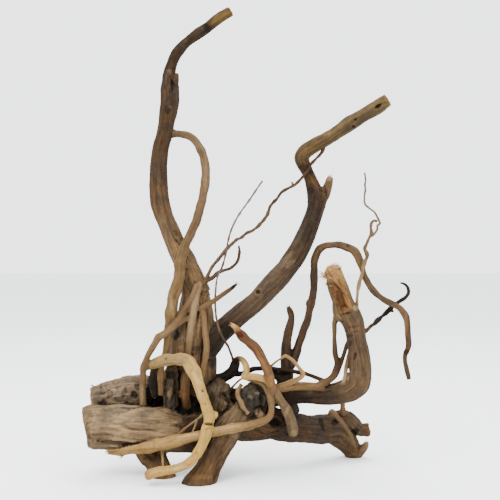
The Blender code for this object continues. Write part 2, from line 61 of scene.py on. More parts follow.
def placed(rows):
    """True places, in metres, of rows of (across, up, depth)."""
    rows = np.asarray(rows, float)
    reach = 1 + rows[:, 2] / EYE_DISTANCE
    x = rows[:, 0] * reach - STAND_POINT[0]
    y = rows[:, 2] - STAND_POINT[1]
    z = EYE_HEIGHT + (rows[:, 1] - EYE_HEIGHT) * reach
    return np.column_stack([x, y, z]) * UNIT


def drawn(places):
    """The across, up and depth of true places: the other way round."""
    depth = places[:, 1] / UNIT + STAND_POINT[1]
    reach = 1 + depth / EYE_DISTANCE
    across = (places[:, 0] / UNIT + STAND_POINT[0]) / reach
    up = EYE_HEIGHT + (places[:, 2] / UNIT - EYE_HEIGHT) / reach
    return across, up, depth


eye = placed([(0, EYE_HEIGHT, -EYE_DISTANCE)])[0]
print("eye point:", [round(v, 4) for v in eye])

# %% [markdown]
# The camera stands at the eye point, level, with a lens that gives the photograph's perspective: one drawing
# unit on the middle plane spans one pixel. A small upward shift frames the root. Tilting the camera would do
# that too, but it would make upright lines lean.

# %% Camera
FRAME_PIXELS = 500
HORIZON_BELOW_MIDDLE = 18  # pixels
SENSOR = 36  # millimetres
VIEW_DEPTH = 40  # metres

bpy.ops.object.camera_add(location=eye, rotation=(math.pi / 2, 0, 0))
camera = bpy.context.active_object
camera.name = "camera"
camera.data.sensor_width = SENSOR
camera.data.lens = SENSOR * EYE_DISTANCE / FRAME_PIXELS
camera.data.shift_y = HORIZON_BELOW_MIDDLE / FRAME_PIXELS
camera.data.clip_end = VIEW_DEPTH
bpy.context.scene.camera = camera
print("camera at", [round(v, 4) for v in camera.location], "lens", camera.data.lens)

# %% [markdown]
# The light is a photographer's: a pale room all round, one large soft lamp above and to the left of the
# camera, a weaker one from the right, and a third above the root and a little behind it. The pale room does
# most of the work, because soft light from everywhere keeps the hollows readable. The floor is a pale matt
# sheet that runs out of sight.

# %% Light and floor
ROOM_COLOUR = (0.83, 0.845, 0.86, 1)
ROOM_STRENGTH = 3.65
MIDDLE = (0, 0, 0.2)  # the point that the lamps are turned to
FLOOR_SIZE = 60
FLOOR_COLOUR = (0.85, 0.86, 0.87, 1)
FLOOR_ROUGHNESS = 0.9

world = bpy.data.worlds.new("pale_room")
bpy.context.scene.world = world
world.use_nodes = True
world.node_tree.nodes["Background"].inputs["Color"].default_value = ROOM_COLOUR
world.node_tree.nodes["Background"].inputs["Strength"].default_value = ROOM_STRENGTH


def soft_lamp(name, place, size, watts):
    """A square lamp that faces the middle of the root."""
    bpy.ops.object.light_add(type="AREA", location=place)
    lamp = bpy.context.active_object
    lamp.name = name
    lamp.data.size = size
    lamp.data.energy = watts
    lamp.rotation_euler = (Vector(MIDDLE) - Vector(place)).to_track_quat("-Z", "Y").to_euler()
    print(name, "at", place, "with", watts, "watts")


soft_lamp("key_lamp", (-0.7, -1.1, 1.5), 0.9, 44)
soft_lamp("fill_lamp", (1.3, -0.8, 0.8), 1.0, 10)
soft_lamp("top_lamp", (0.1, 0.3, 1.7), 1.0, 30)

bpy.ops.mesh.primitive_plane_add(size=FLOOR_SIZE, location=(0, 0, 0))
floor = bpy.context.active_object
floor.name = "floor"
sheet = bpy.data.materials.new("pale_sheet")
sheet.use_nodes = True
sheet.node_tree.nodes["Principled BSDF"].inputs["Base Color"].default_value = FLOOR_COLOUR
sheet.node_tree.nodes["Principled BSDF"].inputs["Roughness"].default_value = FLOOR_ROUGHNESS
floor.data.materials.append(sheet)

# %% [markdown]
# The limbs follow, as a list of stations each, with one at every bend or change of thickness. They are given
# one by one, because no formula knows where a root turns. First the heavy wood: the stump that everything
# grows from, and the feet, whose ends are sawn flat on the table.

# %% Stump
STUMP = {
    "log": [
        (-165.3, 46, -14, 20), (-159.5, 46.6, -13, 21.8), (-149, 46.6, -12, 22.4), (-132, 46, -9, 23),
        (-110, 45, -6, 23), (-90, 44, -3, 22), (-70, 42, 0, 22), (-50, 43, 3, 21.5), (-30, 46, 5, 18),
    ],
    "log_back": [
        (-159, 76, 8, 10), (-152, 76.5, 10, 12), (-140, 78, 12, 14.5), (-131, 80, 13, 15.5),
        (-119, 82, 14, 16.2), (-108, 82, 17, 16.5), (-96, 79, 21, 14), (-82, 75, 22, 16), (-68, 72, 20, 18),
    ],
    "column": [
        (-57, 52, 12, 21), (-57, 72, 14, 22), (-57, 92, 14, 22), (-57.5, 110, 13, 23), (-58.5, 125, 12, 23),
        (-58, 138, 11, 21.8), (-55.4, 152, 10, 19.2), (-54.4, 166, 9, 16.2), (-55.6, 180, 8, 13.4),
        (-59, 195, 8, 11.8), (-62, 203, 8, 11.4),
    ],
    "heart": [
        (-62, 56, 8, 21), (-42, 58, 8, 21), (-22, 57, 7, 19), (-4, 56, 7, 18), (12, 53, 8, 17),
        (26, 50, 12, 15),
    ],
    "grey_boss": [(-40, 62, 2, 13), (-34, 76, -3, 14.5), (-30, 86, -1, 11), (-27, 92, 2, 6)],
    "round_knot": [(-6, 58, 4, 14), (2, 70, -1, 16), (5, 78, -1, 14.5), (8, 86, 2, 10), (11, 92, 4, 5)],
    "grey_post": [
        (-79, 66, 0, 7.5), (-79, 80, -2, 7.5), (-77, 94, -2, 7), (-76, 108, 0, 7), (-72, 120, 4, 6),
    ],
    "dark_post": [(-93, 109, 6, 5.4), (-93.5, 99, 7, 6.4), (-95, 90, 8, 6.6), (-96, 80, 10, 6.6)],
    "bar_post": [(36, 80, 10, 8), (38, 70, 12, 8.6), (42, 60, 17, 8.5)],
    "under_root": [(-18, 44, -4, 10), (-5, 42, 1, 10.6), (9, 43, 7, 10.2), (24, 46, 11, 10)],
    "boss_bridge": [(-30, 75, 6, 7), (-19, 79, 7, 6), (-8, 76, 6, 6.5)],
    "spike_shelf": [(21, 100, 19, 2.8), (28, 97, 20, 4.4), (35, 90, 19, 6)],
    "red_post": [
        (-63, 66, -8, 4), (-64.5, 76, -12, 4), (-65, 86, -13, 4.5), (-64, 97, -12, 5), (-60, 108, -8, 5),
    ],
}
print("stump:", len(STUMP), "limbs")

# %% Feet
FEET = {
    "front_foot": [
        (-8, 62, 0, 12), (-19, 48, -11, 14), (-27, 34, -19, 14.5), (-35, 20, -26, 13), (-41, 8, -31, 12.5),
        (-46, -2, -34, 14), (-51, -13, -35, 17.5), (-53, -18, -35, 18),
    ],
    "left_foot": [
        (-100, 33, 2, 18), (-98.5, 21, -1, 16), (-94.5, 12, -5, 13.2), (-90.5, 3, -10, 11.8),
        (-88, -5, -12, 13), (-86, -11, -13, 14),
    ],
    "back_foot": [
        (-46, 56, 20, 16), (-42, 42, 34, 12), (-40, 29, 46, 10), (-39, 18, 54, 9.5), (-38, 9, 60, 10.5),
        (-37, 1, 63, 11.5),
    ],
    "lower_limb": [
        (4, 51, 6, 15.6), (20, 49, 10, 14.8), (36, 46.2, 16, 14.4), (50, 44.8, 25, 14.5),
        (61, 43.8, 33, 14.5), (72, 43.4, 42, 14.8), (82, 43, 50, 14), (91, 37, 58, 12.2),
        (98, 30, 65, 10.5), (102, 22, 69, 8.8), (104.5, 13, 71, 7.2),
    ],
    "foot_knob": [
        (84, 54, 50, 6), (90, 57.6, 50, 6.4), (97, 54, 52, 8), (104, 47.6, 55, 7.8), (110, 43.6, 58, 7),
        (118.6, 43, 60, 6.2),
    ],
    "foot_claw": [
        (100, 24, 66, 8), (105, 21, 67, 6.6), (110, 22.5, 66, 4.8), (115, 27, 65, 3.4), (117, 31, 64, 1.8),
    ],
}
print("feet:", len(FEET), "limbs")

# %% [markdown]
# Then what rises from it: two tall limbs with sawn ends, the broken limb on the right with its torn top,
# and a few stubs. Each is one unbroken list from foot to tip and not a piece for each bend, so that the
# grain can run on through the bends.

# %% Tall limbs
TALL_LIMBS = {
    "left_limb": [
        (-54, 180, 8, 13.5), (-57.5, 195, 8, 12.4), (-64.3, 210, 8, 11.5), (-72, 225, 6, 10.5),
        (-79, 240, 4, 9.8), (-85, 255, 1, 9.3), (-89.5, 270, -2, 9.4), (-91, 285, -4, 9.1),
        (-91, 300, -6, 8.7), (-90.3, 312, -7, 8.4), (-89, 325, -7, 8.5), (-85.5, 338, -5, 8.4),
        (-83.5, 350, -2, 8), (-81.8, 362, 1, 8.7), (-80, 373, 4, 10.2), (-80, 381, 6, 9.9),
        (-80.6, 391, 9, 7.9), (-80.8, 400, 11, 6.1), (-77.8, 410, 13, 5.3), (-73.5, 419, 15, 5.2),
        (-66, 428, 18, 5.1), (-55, 437, 21, 5.1), (-42, 446, 25, 5.2), (-30, 455.6, 28, 5.1),
        (-19.4, 461.8, 30, 5),
    ],
    "left_nub": [(-78, 383, 5, 6), (-75, 391, 4, 4), (-73.6, 396, 3, 2.8), (-72.8, 400, 3, 1.4)],
    "right_limb": [
        (-48, 122, 8, 15), (-36, 136, 11, 12.8), (-18, 151.5, 16, 10.5), (-4, 163, 20, 10.1),
        (8, 174, 24, 10.2), (18, 184, 27, 10.5), (29, 196, 29, 10.6), (38.3, 207, 30, 10.5),
        (47, 220.5, 31, 10.1), (55.6, 236, 32, 9.8), (61.6, 250, 32, 9), (65.3, 262, 31, 8.6),
        (66.5, 272, 30, 9.5), (64.5, 282, 29, 7.6), (61, 292, 28, 6.4), (57.3, 301, 27, 6.2),
        (53.3, 309, 26, 6.3), (51.5, 315.5, 25, 7), (55, 321.5, 23, 7.2), (63, 326.5, 20, 7),
        (75, 333, 15, 6.9), (88, 341.5, 10, 7.1), (100, 349.8, 5, 7.4), (112, 357, 0, 6.7),
        (122, 362.8, -4, 6.9), (131, 368.5, -8, 7), (138, 373.3, -11, 6.2),
    ],
    "right_nub": [
        (70, 272, 29, 6.5), (74.5, 280, 27, 5.6), (78, 287.5, 25, 4), (79.4, 293, 24, 3.6),
        (80.4, 296.5, 23.5, 2.6),
    ],
    "arm": [
        (10, 76, 4, 12), (28, 78, 6, 10.5), (44, 79, 8, 9.5), (60, 80, 9, 10), (75, 78.6, 8, 10.8),
        (89, 80, 3, 11), (99.5, 83.5, -3, 12.3), (107, 90, -7, 12.3), (110, 100, -9, 10.6),
        (110, 110, -10, 10.2), (109.4, 120, -10, 10.4), (107.3, 130, -10, 10.6), (105.7, 140, -10, 10.6),
        (103.5, 150, -10, 11), (99, 160, -11, 11.4), (95.5, 168, -12, 10.6), (91.6, 177, -13, 10.4),
        (87.8, 187, -15, 10), (84.9, 196, -17, 9), (82.6, 202.5, -19, 7.6), (82, 206.5, -20, 5.4),
    ],
    "stub_lip": [(97, 158, -12, 9), (91, 157, -12, 7), (88, 161, -12, 6), (86, 170, -13, 4)],
    "dark_arm": [
        (-42, 86, 16, 10), (-34, 91.5, 16, 7), (-25.5, 96, 13, 4.9), (-18, 101.5, 9, 5.3),
        (-14.5, 109, 5, 5), (-13.5, 114, 3, 3),
    ],
    "spike": [
        (30, 82, 16, 7), (35, 90, 20, 7.5), (37, 100, 23, 6.6), (36.7, 110, 24, 6), (36, 120, 24, 5.4),
        (36.5, 130, 24, 5), (38.3, 140, 24, 4.4), (40.5, 150, 23, 3.6), (41, 158, 23, 3.3),
        (39.4, 163, 23, 2.8), (38.2, 166.5, 23, 1.8),
    ],
}
print("tall limbs:", len(TALL_LIMBS))

# %% [markdown]
# Roots about as thick as a pencil loop out of the stump, lie over it and grow back in. Where a root grows
# out of other wood, its first station lies in that wood, so that no gap shows at the fork.

# %% Roots
ROOTS = {
    "loop_root": [
        (-84, 338, -5, 4.2), (-77, 339, -4, 3.7), (-70, 339, -2, 3.5), (-62, 337.3, 0, 3.7),
        (-55, 332, 2, 3.8), (-49.5, 324, 3, 4), (-46, 314, 4, 4.1), (-44.3, 303, 4, 4.2),
        (-44.5, 292, 3, 4.2), (-46.5, 280, 2, 4.3), (-49, 268, 0, 4.3), (-52.5, 256, -3, 4.4),
        (-56.5, 246, -5, 4.4), (-60.5, 237, -7, 4.5), (-64.3, 229, -7, 4.7), (-67, 220, -7, 5.2),
        (-69.7, 210, -8, 5.6), (-71, 200, -9, 5.7), (-72.5, 190, -9, 5.8), (-75, 180, -9, 6),
        (-77.7, 170, -9, 5.8), (-79.5, 160, -9, 5.6), (-80.3, 150, -9, 4.9), (-82, 140, -9, 4),
        (-83.3, 130, -9, 3.4), (-85, 120, -9, 3.4), (-87.3, 111, -9, 3.5), (-89, 100, -8, 3.5),
        (-89.3, 90, -6, 3.1), (-88.5, 78, -3, 3),
    ],
    "rising_root": [
        (-107, 58, -2, 3.4), (-107, 70, -5, 3.3), (-107.5, 82, -8, 3.1), (-107.5, 95, -11, 3.1),
        (-106.3, 105, -14, 3.2), (-103.5, 114, -16, 3.1), (-99.5, 122, -17, 3.1), (-95.3, 129.3, -18, 3.2),
        (-91.3, 135.8, -18, 3.5), (-85.5, 139.2, -18, 3.5), (-80, 143.3, -17, 3.8), (-74.5, 149, -15, 3.8),
        (-69.5, 156, -12, 3.6), (-65, 163, -10, 3.4), (-60.5, 171, -8, 3.3), (-56.5, 179, -7, 3.1),
        (-52.5, 188, -5, 2.8),
    ],
    "rising_fork": [
        (-78, 145, -16, 3.2), (-70, 150.3, -14, 2.5), (-64.5, 154, -11, 2.3), (-58, 157, -7, 2.2),
    ],
    "column_rib": [
        (-50, 190, -3, 2.6), (-53.5, 176, -7, 3.2), (-57, 160, -9, 3.6), (-59, 145, -10, 3.8),
        (-61, 130, -10.5, 3.8), (-62, 116, -10, 3.4),
    ],
    "loose_rib": [
        (-48, 166, -5, 2.8), (-45.7, 152, -9, 2.8), (-44.5, 140, -12, 2.9), (-43.6, 130, -13, 3.1),
        (-44, 120, -14, 3.2), (-45.5, 110, -14, 3), (-47, 101, -13, 2.6), (-50, 90, -11, 2.6),
    ],
    "pale_arch": [
        (-104, 107, -10, 3.4), (-100, 107.5, -12, 4.3), (-93, 110.5, -15, 5.2), (-85, 113.3, -18, 5.9),
        (-75, 114, -21, 6), (-65.5, 113.3, -24, 6.4), (-60, 109, -27, 6.8), (-56.3, 101, -30, 6.6),
        (-52.6, 92, -32, 5.9), (-49.5, 83, -33, 5.3), (-46.5, 74, -33, 5.1), (-43.5, 65, -33, 5.2),
        (-41, 57.5, -33, 5.9), (-41.2, 50.5, -35, 5), (-42.3, 45.5, -37, 5.6), (-44, 38, -40, 5.6),
        (-47, 30, -43, 5.2), (-51, 22, -46, 5), (-56, 14.7, -48, 4.7), (-63, 8.7, -49, 4.4),
        (-72, 5, -49, 4.3), (-82, 3, -48, 4.5), (-92, 1.3, -47, 4.9), (-99, -1, -46, 5.3),
        (-104, -3, -45, 4.6),
    ],
    "arch_knuckle": [(-41, 57, -32, 4.6), (-36.5, 57.5, -30, 4.8), (-33.5, 56.5, -29, 3.8)],
    "floor_strip": [
        (-141.5, 22, -18, 3.6), (-130, 22.6, -19, 4.9), (-118, 24.6, -20, 6), (-105, 26.5, -22, 6.6),
        (-92, 28.6, -24, 6.6), (-80, 30.9, -26, 6), (-68, 33.6, -29, 5.3), (-56, 36.5, -32, 4.6),
        (-45, 39, -33, 4.6), (-32, 41.5, -34, 4.7), (-18, 44.5, -33, 4.8), (-5, 46.7, -29, 4.6),
        (8, 50, -24, 3.9), (15.5, 53, -20, 3.1), (20.3, 58, -17, 2.9), (21.2, 66, -15, 3.2),
        (20, 75, -15, 3.1), (17, 83, -14, 2.9), (13, 89, -12, 2.7), (5, 92.5, -9, 2.5), (-3, 94, -7, 2.4),
    ],
    "snag_root": [
        (-19, 148.5, -14, 1.6), (-15, 146, -15, 2.8), (-12, 141.5, -16, 3.9), (-8.5, 137.5, -17, 4.6),
        (-2, 131.5, -19, 5), (5, 125, -21, 5), (11, 116.5, -22, 4.7), (15.5, 108, -22, 4.6),
        (18.5, 99, -21, 4.8), (20.5, 90, -18, 4.8), (22.5, 82, -14, 5), (23, 72, -7, 5),
    ],
    "cream_root": [
        (-8, 97, -10, 3), (-3, 96, -12, 3.3), (5, 96.3, -16, 3.3), (12, 94.5, -18, 3.3), (18, 91, -18, 3),
    ],
    "small_hook": [
        (-15.5, 110, 4, 3.6), (-12, 114, -2, 2.9), (-7.5, 113, -6, 2.9), (-4.4, 107.5, -9, 2.9),
        (-3.6, 101, -11, 3), (-5, 95, -12, 3.2),
    ],
    "back_rod": [
        (-20, 99, 10, 3), (-8, 99.6, 11, 2.2), (4, 104, 13, 2.2), (15, 104.6, 14, 2.2),
        (28, 103.4, 14, 2.2), (40, 102, 14, 2.1), (50, 100.5, 12, 2.1), (60, 98, 9, 2), (68, 94.6, 6, 2),
        (76, 91.5, 3, 2.4),
    ],
    "lift_root": [
        (60, 84, 2, 3.4), (70, 88.5, 1, 3.6), (77, 92, 0, 3.5), (82.5, 96, -1, 3.5), (86, 101.5, -1, 3.5),
        (87.6, 108, -1, 3.2), (86.6, 113, -2, 2.7), (85.4, 119, -3, 2.5), (84.8, 128, -4, 2.2),
        (84.4, 140, -6, 2.2), (84.6, 150, -8, 2.4), (86.5, 160, -10, 2.8),
    ],
    "lift_fork": [
        (87, 103, -1, 3), (91, 110.5, -1, 2.3), (94, 119, -2, 2), (96.8, 128, -3, 2), (100, 135, -5, 2),
    ],
    "stub_sliver": [
        (94.5, 91, -7, 3), (95.2, 98, -9, 1.9), (96.3, 106, -9, 1.7), (97.7, 114, -9, 1.6),
        (100, 122, -10, 1.6),
    ],
    "saddle_root": [
        (20, 82, -10, 4), (30, 85, -8, 4.4), (40, 86.6, -5, 4.4), (52, 86.6, -2, 4.2), (64, 86.5, 0, 3.6),
        (74, 85, 1, 3),
    ],
    "ring_root": [
        (18, 104, -20, 1.1), (25, 110.3, -17, 1), (31, 114.5, -14, 1.1), (35.5, 117, -12, 1.6),
        (41, 114, -11, 1.8), (46, 109, -11, 1.8), (50.3, 103.5, -12, 1.8), (53, 99, -12, 1.9),
        (50, 95.4, -12, 2.1), (44, 92, -11, 2.5), (37, 89, -10, 2.7), (30, 86.5, -10, 3),
    ],
    "leaf_root": [
        (24, 84, -13, 3.6), (28, 77, -13, 4.1), (33, 69, -12, 4.5), (38, 60, -9, 5), (41, 50, -5, 5.2),
        (43, 42.5, -1, 5.5), (43.3, 38, 2, 4.4),
    ],
    "arch_root": [
        (37, 100, 22, 5), (41, 109, 24, 4.8), (46.3, 120, 26, 4.4), (49.3, 130, 27, 4.3),
        (52.8, 140, 28, 4), (56.4, 150, 29, 3.8), (58.9, 160, 30, 3.5), (61, 170, 31, 3.9),
        (63.2, 180, 32, 3.7), (63.9, 190, 33, 3.7), (63.9, 200, 33, 3.5), (64.2, 210, 33, 3.7),
        (65.7, 217, 33, 3.8), (69, 223.3, 32, 3.7), (75, 227.2, 30, 3.3), (82, 228, 27, 3.1),
        (90, 227.9, 24, 3.4), (97, 225.6, 21, 3.5), (103.2, 223, 18, 3.7), (107.2, 218.3, 15, 3.9),
        (109.7, 212, 13, 3.5), (112, 205, 11, 3.2), (114.7, 197, 8, 3.3), (118.3, 189.5, 6, 3.4),
        (123.3, 182.5, 4, 3.3), (129, 177, 2, 3.2), (135.5, 172.4, 0, 3.2), (142, 169.3, -3, 3),
        (148, 166.3, -5, 3), (153, 161.3, -8, 3), (156.4, 155, -10, 3), (157.4, 147, -12, 2.9),
        (158, 138, -13, 2.8), (158.8, 130, -14, 2.9), (158, 124.5, -14, 2.6), (155.4, 119, -14, 2.2),
        (155, 112, -14, 2.1), (156.5, 104, -14, 2.2), (158.3, 97, -14, 2.2), (159, 93.3, -14, 1.9),
    ],
    "limb_strip": [
        (80, 61.5, 48, 3.2), (84, 58, 45, 4), (90, 50.5, 45, 4.3), (96, 42, 48, 4.2), (100.5, 34, 53, 3.8),
        (103.5, 26, 60, 3.2),
    ],
    "link_post": [(92.5, 76, 4, 3), (92.6, 70, 14, 2.4), (92.6, 65, 28, 2.4), (93, 60, 42, 3.4)],
    "back_root": [
        (-118, 52, 16, 5), (-108, 60, 24, 5), (-98, 72, 31, 4.8), (-88, 88, 35, 4.6), (-79, 106, 37, 4.5),
        (-71, 124, 35, 4.3), (-63, 140, 32, 4.2), (-56, 156, 27, 4), (-52, 170, 21, 3.6), (-51, 182, 16, 3),
    ],
    "back_runner": [
        (-50, 88, 28, 5), (-36, 80, 32, 4.8), (-20, 73, 30, 4.6), (-3, 67, 28, 4.8), (14, 62, 29, 4.8),
        (30, 58, 33, 4.6), (46, 56, 39, 4.2),
    ],
    "side_stub": [
        (-54, 161, 0, 4), (-46, 165.5, -7, 3.3), (-37, 171.5, -12, 2.6), (-29, 177, -16, 2.3),
        (-22, 182, -18, 2.2), (-16.5, 186.3, -19, 1.8), (-13, 189.3, -20, 0.8),
    ],
}
print("roots:", len(ROOTS))

# %% [markdown]
# Rootlets are mostly 1 to 4 mm thick, and a little more where they leave the wood. They wander, fork and
# curl, so they have more stations for their thickness than a limb has.

# %% Rootlets' stations
ROOTLETS = {
    "wandering_twig": [
        (-50, 186, 2, 2.2), (-45.5, 192, -2, 1.9), (-41, 200, -5, 1.5), (-35.5, 209, -7, 1.5),
        (-29.5, 216, -9, 1.5), (-24.5, 223, -10.5, 1.7), (-19, 228, -10, 1.5), (-13.5, 233.3, -8, 1.5),
        (-8, 235.5, -6, 1.5), (-3, 240, -3, 1.3), (4, 243.5, 1, 1.3), (10, 248.5, 5, 1.5),
        (15, 255, 9, 1.5), (18.3, 261, 12, 1.5), (20.5, 267, 14, 1.3), (26, 273.5, 17, 1.3),
        (31, 280, 19, 1.3), (38, 284.5, 20, 1.2), (44.5, 288, 20, 1.2), (50, 293, 20, 1.2),
        (55, 298.5, 20.3, 1.2), (58.7, 303.5, 20.5, 1.2), (62, 309.7, 20, 1.2), (66, 314, 18.5, 1.2),
        (70.5, 318.7, 17, 1.2), (74.5, 327, 15, 1.5),
    ],
    "twig_spur": [(43.5, 287.5, 20, 1.1), (42.2, 289.5, 19.4, 0.8), (41.7, 291.5, 19, 0.6)],
    "curved_twig": [
        (-48, 189, 2, 2.2), (-44, 192, -2, 2), (-38, 195.3, -6, 1.9), (-32, 200.5, -9, 1.6),
        (-26, 202.7, -10, 1.5), (-19.5, 204.7, -10, 1.4), (-14, 209.5, -9, 1.4), (-11.3, 216, -8, 1.3),
        (-10.5, 222, -7, 1.2), (-11.3, 227.3, -6, 0.8),
    ],
    "whisker": [
        (12.8, 292, -14, 0.9), (11, 289.8, -14, 0.8), (0, 274, -15, 0.7), (-10, 260, -15, 0.75),
        (-17, 247, -14, 0.75), (-21, 235, -13, 0.75), (-24, 220, -12, 0.75), (-28, 206, -11, 0.75),
        (-32, 198, -11, 0.75), (-34, 187, -12, 0.7), (-34.8, 176, -13, 0.75), (-34.5, 163, -13, 0.8),
        (-32.5, 149, -12, 0.9), (-28.5, 138, -8, 0.9), (-24, 130, -4, 0.9), (-20, 122, 0, 0.95),
        (-17.3, 115, 3, 1.1), (-16, 108, 5, 1.2),
    ],
    "curling_twig": [
        (107, 154, -10, 3.2), (107, 161, -9, 2.4), (107, 168, -8, 1.5), (107, 175, -6, 1.3),
        (108, 183, -3, 1.4), (109.5, 190, 0, 1.5), (111.5, 198, 4, 1.7), (112.7, 205, 7, 2),
        (114, 211, 7.5, 2), (116.7, 215, 6, 1.8), (117, 219, 5, 1.6), (114.6, 224, 4, 1.7),
        (116, 228.3, 3, 1.4), (118.3, 233, 3, 1.5), (121, 238.3, 3, 1.5), (120.6, 246, 1, 1.4),
        (121.6, 250.6, 0, 1.2), (124.2, 252.6, 0, 1), (127, 251.3, 1, 0.9),
    ],
    "curl_tip": [
        (120.3, 236.8, 3, 1.4), (124.5, 239.3, 3, 1), (127.4, 243.5, 3, 0.9), (127.4, 247.5, 2, 0.9),
        (129.7, 249.3, 1, 1), (128.5, 253, 1, 0.85), (126.5, 257.5, 1, 0.8), (124.3, 261, 0, 0.8),
        (120, 264, 0, 0.75), (116, 267.5, 0, 0.8), (114.5, 271, 0, 0.75), (114.7, 277, 0, 0.75),
        (115.5, 283, 0, 0.75), (114.8, 288, 0, 0.7), (115.5, 293.5, 0, 0.65), (114.6, 300.5, 0, 0.55),
    ],
    "hooked_twig": [
        (110, 138, -6, 3), (115, 142, -2, 2.1), (120, 146.3, 2, 1.9), (127, 151.3, 6, 2),
        (133, 157, 9, 2.2), (138.7, 162.7, 10, 2.4), (142.5, 167, 10, 1.9), (148.5, 170.6, 8, 1.4),
        (154, 174.3, 5, 1.5), (157.8, 178.7, 2, 1.5), (158.5, 184, 0, 1.4), (156.3, 187.8, 0, 1.2),
        (152.6, 189.8, 0, 0.8), (150, 190.2, 0, 0.5),
    ],
    "hook_spur": [(138.5, 163.5, 10, 1.6), (141.5, 162.3, 9, 1.3), (144, 161.4, 9, 0.6)],
    "log_whisker": [
        (-76, 35, -24, 1), (-69, 41, -25, 0.9), (-61, 47.5, -25, 0.9), (-53, 53, -24, 1), (-46, 60, -27, 1),
    ],
    "log_hair": [(-58, 40, -29, 0.9), (-55, 46.5, -28, 0.7), (-52.5, 54, -24.5, 0.8)],
    "drip_root": [(-88.5, 27, -20, 1.2), (-88, 19, -21, 1.1), (-87.3, 12, -23, 0.9), (-87, 6, -28, 0.8)],
    "gap_hair": [(-19.5, 84, 0, 1.1), (-15, 88.5, -2, 0.8), (-11.5, 92, -5, 0.8), (-7, 95.5, -9, 0.9)],
    "knot_rim": [
        (-9, 89, -1, 2), (-11.5, 82, -4, 2.3), (-11.3, 75, -8, 2.4), (-7, 67, -12, 2.5), (-1, 60, -13, 2.7),
    ],
}
print("rootlets:", len(ROOTLETS))

# %% [markdown]
# Each limb has its own colour, which drifts from its foot to its tip: barked wood is a greyed brown, roots
# that lost their bark are the colour of straw, and the stump's heart is near black, as painted shade where it
# lies deep under the other wood. One brown for all with noise over it would be quicker, but each branch of a
# real root has weathered in its own way. The colours are given here as they look in daylight, from 0 to 255.

# %% Colours
STRAW = (214, 176, 112)
CREAM = (212, 172, 114)
SAND = (188, 152, 100)
TAN = (152, 126, 95)
BROWN = (106, 81, 60)
DEEP_RUST = (104, 66, 42)
DARK = (76, 59, 46)
CHARCOAL = (60, 52, 46)
# Near black: rot on a few spots, and painted shade in the deep hollows, between the posts and behind the
# loose rib.
ROT_AND_SHADE = (34, 28, 24)
GOLD = (136, 111, 72)
PEEL = (202, 158, 106)

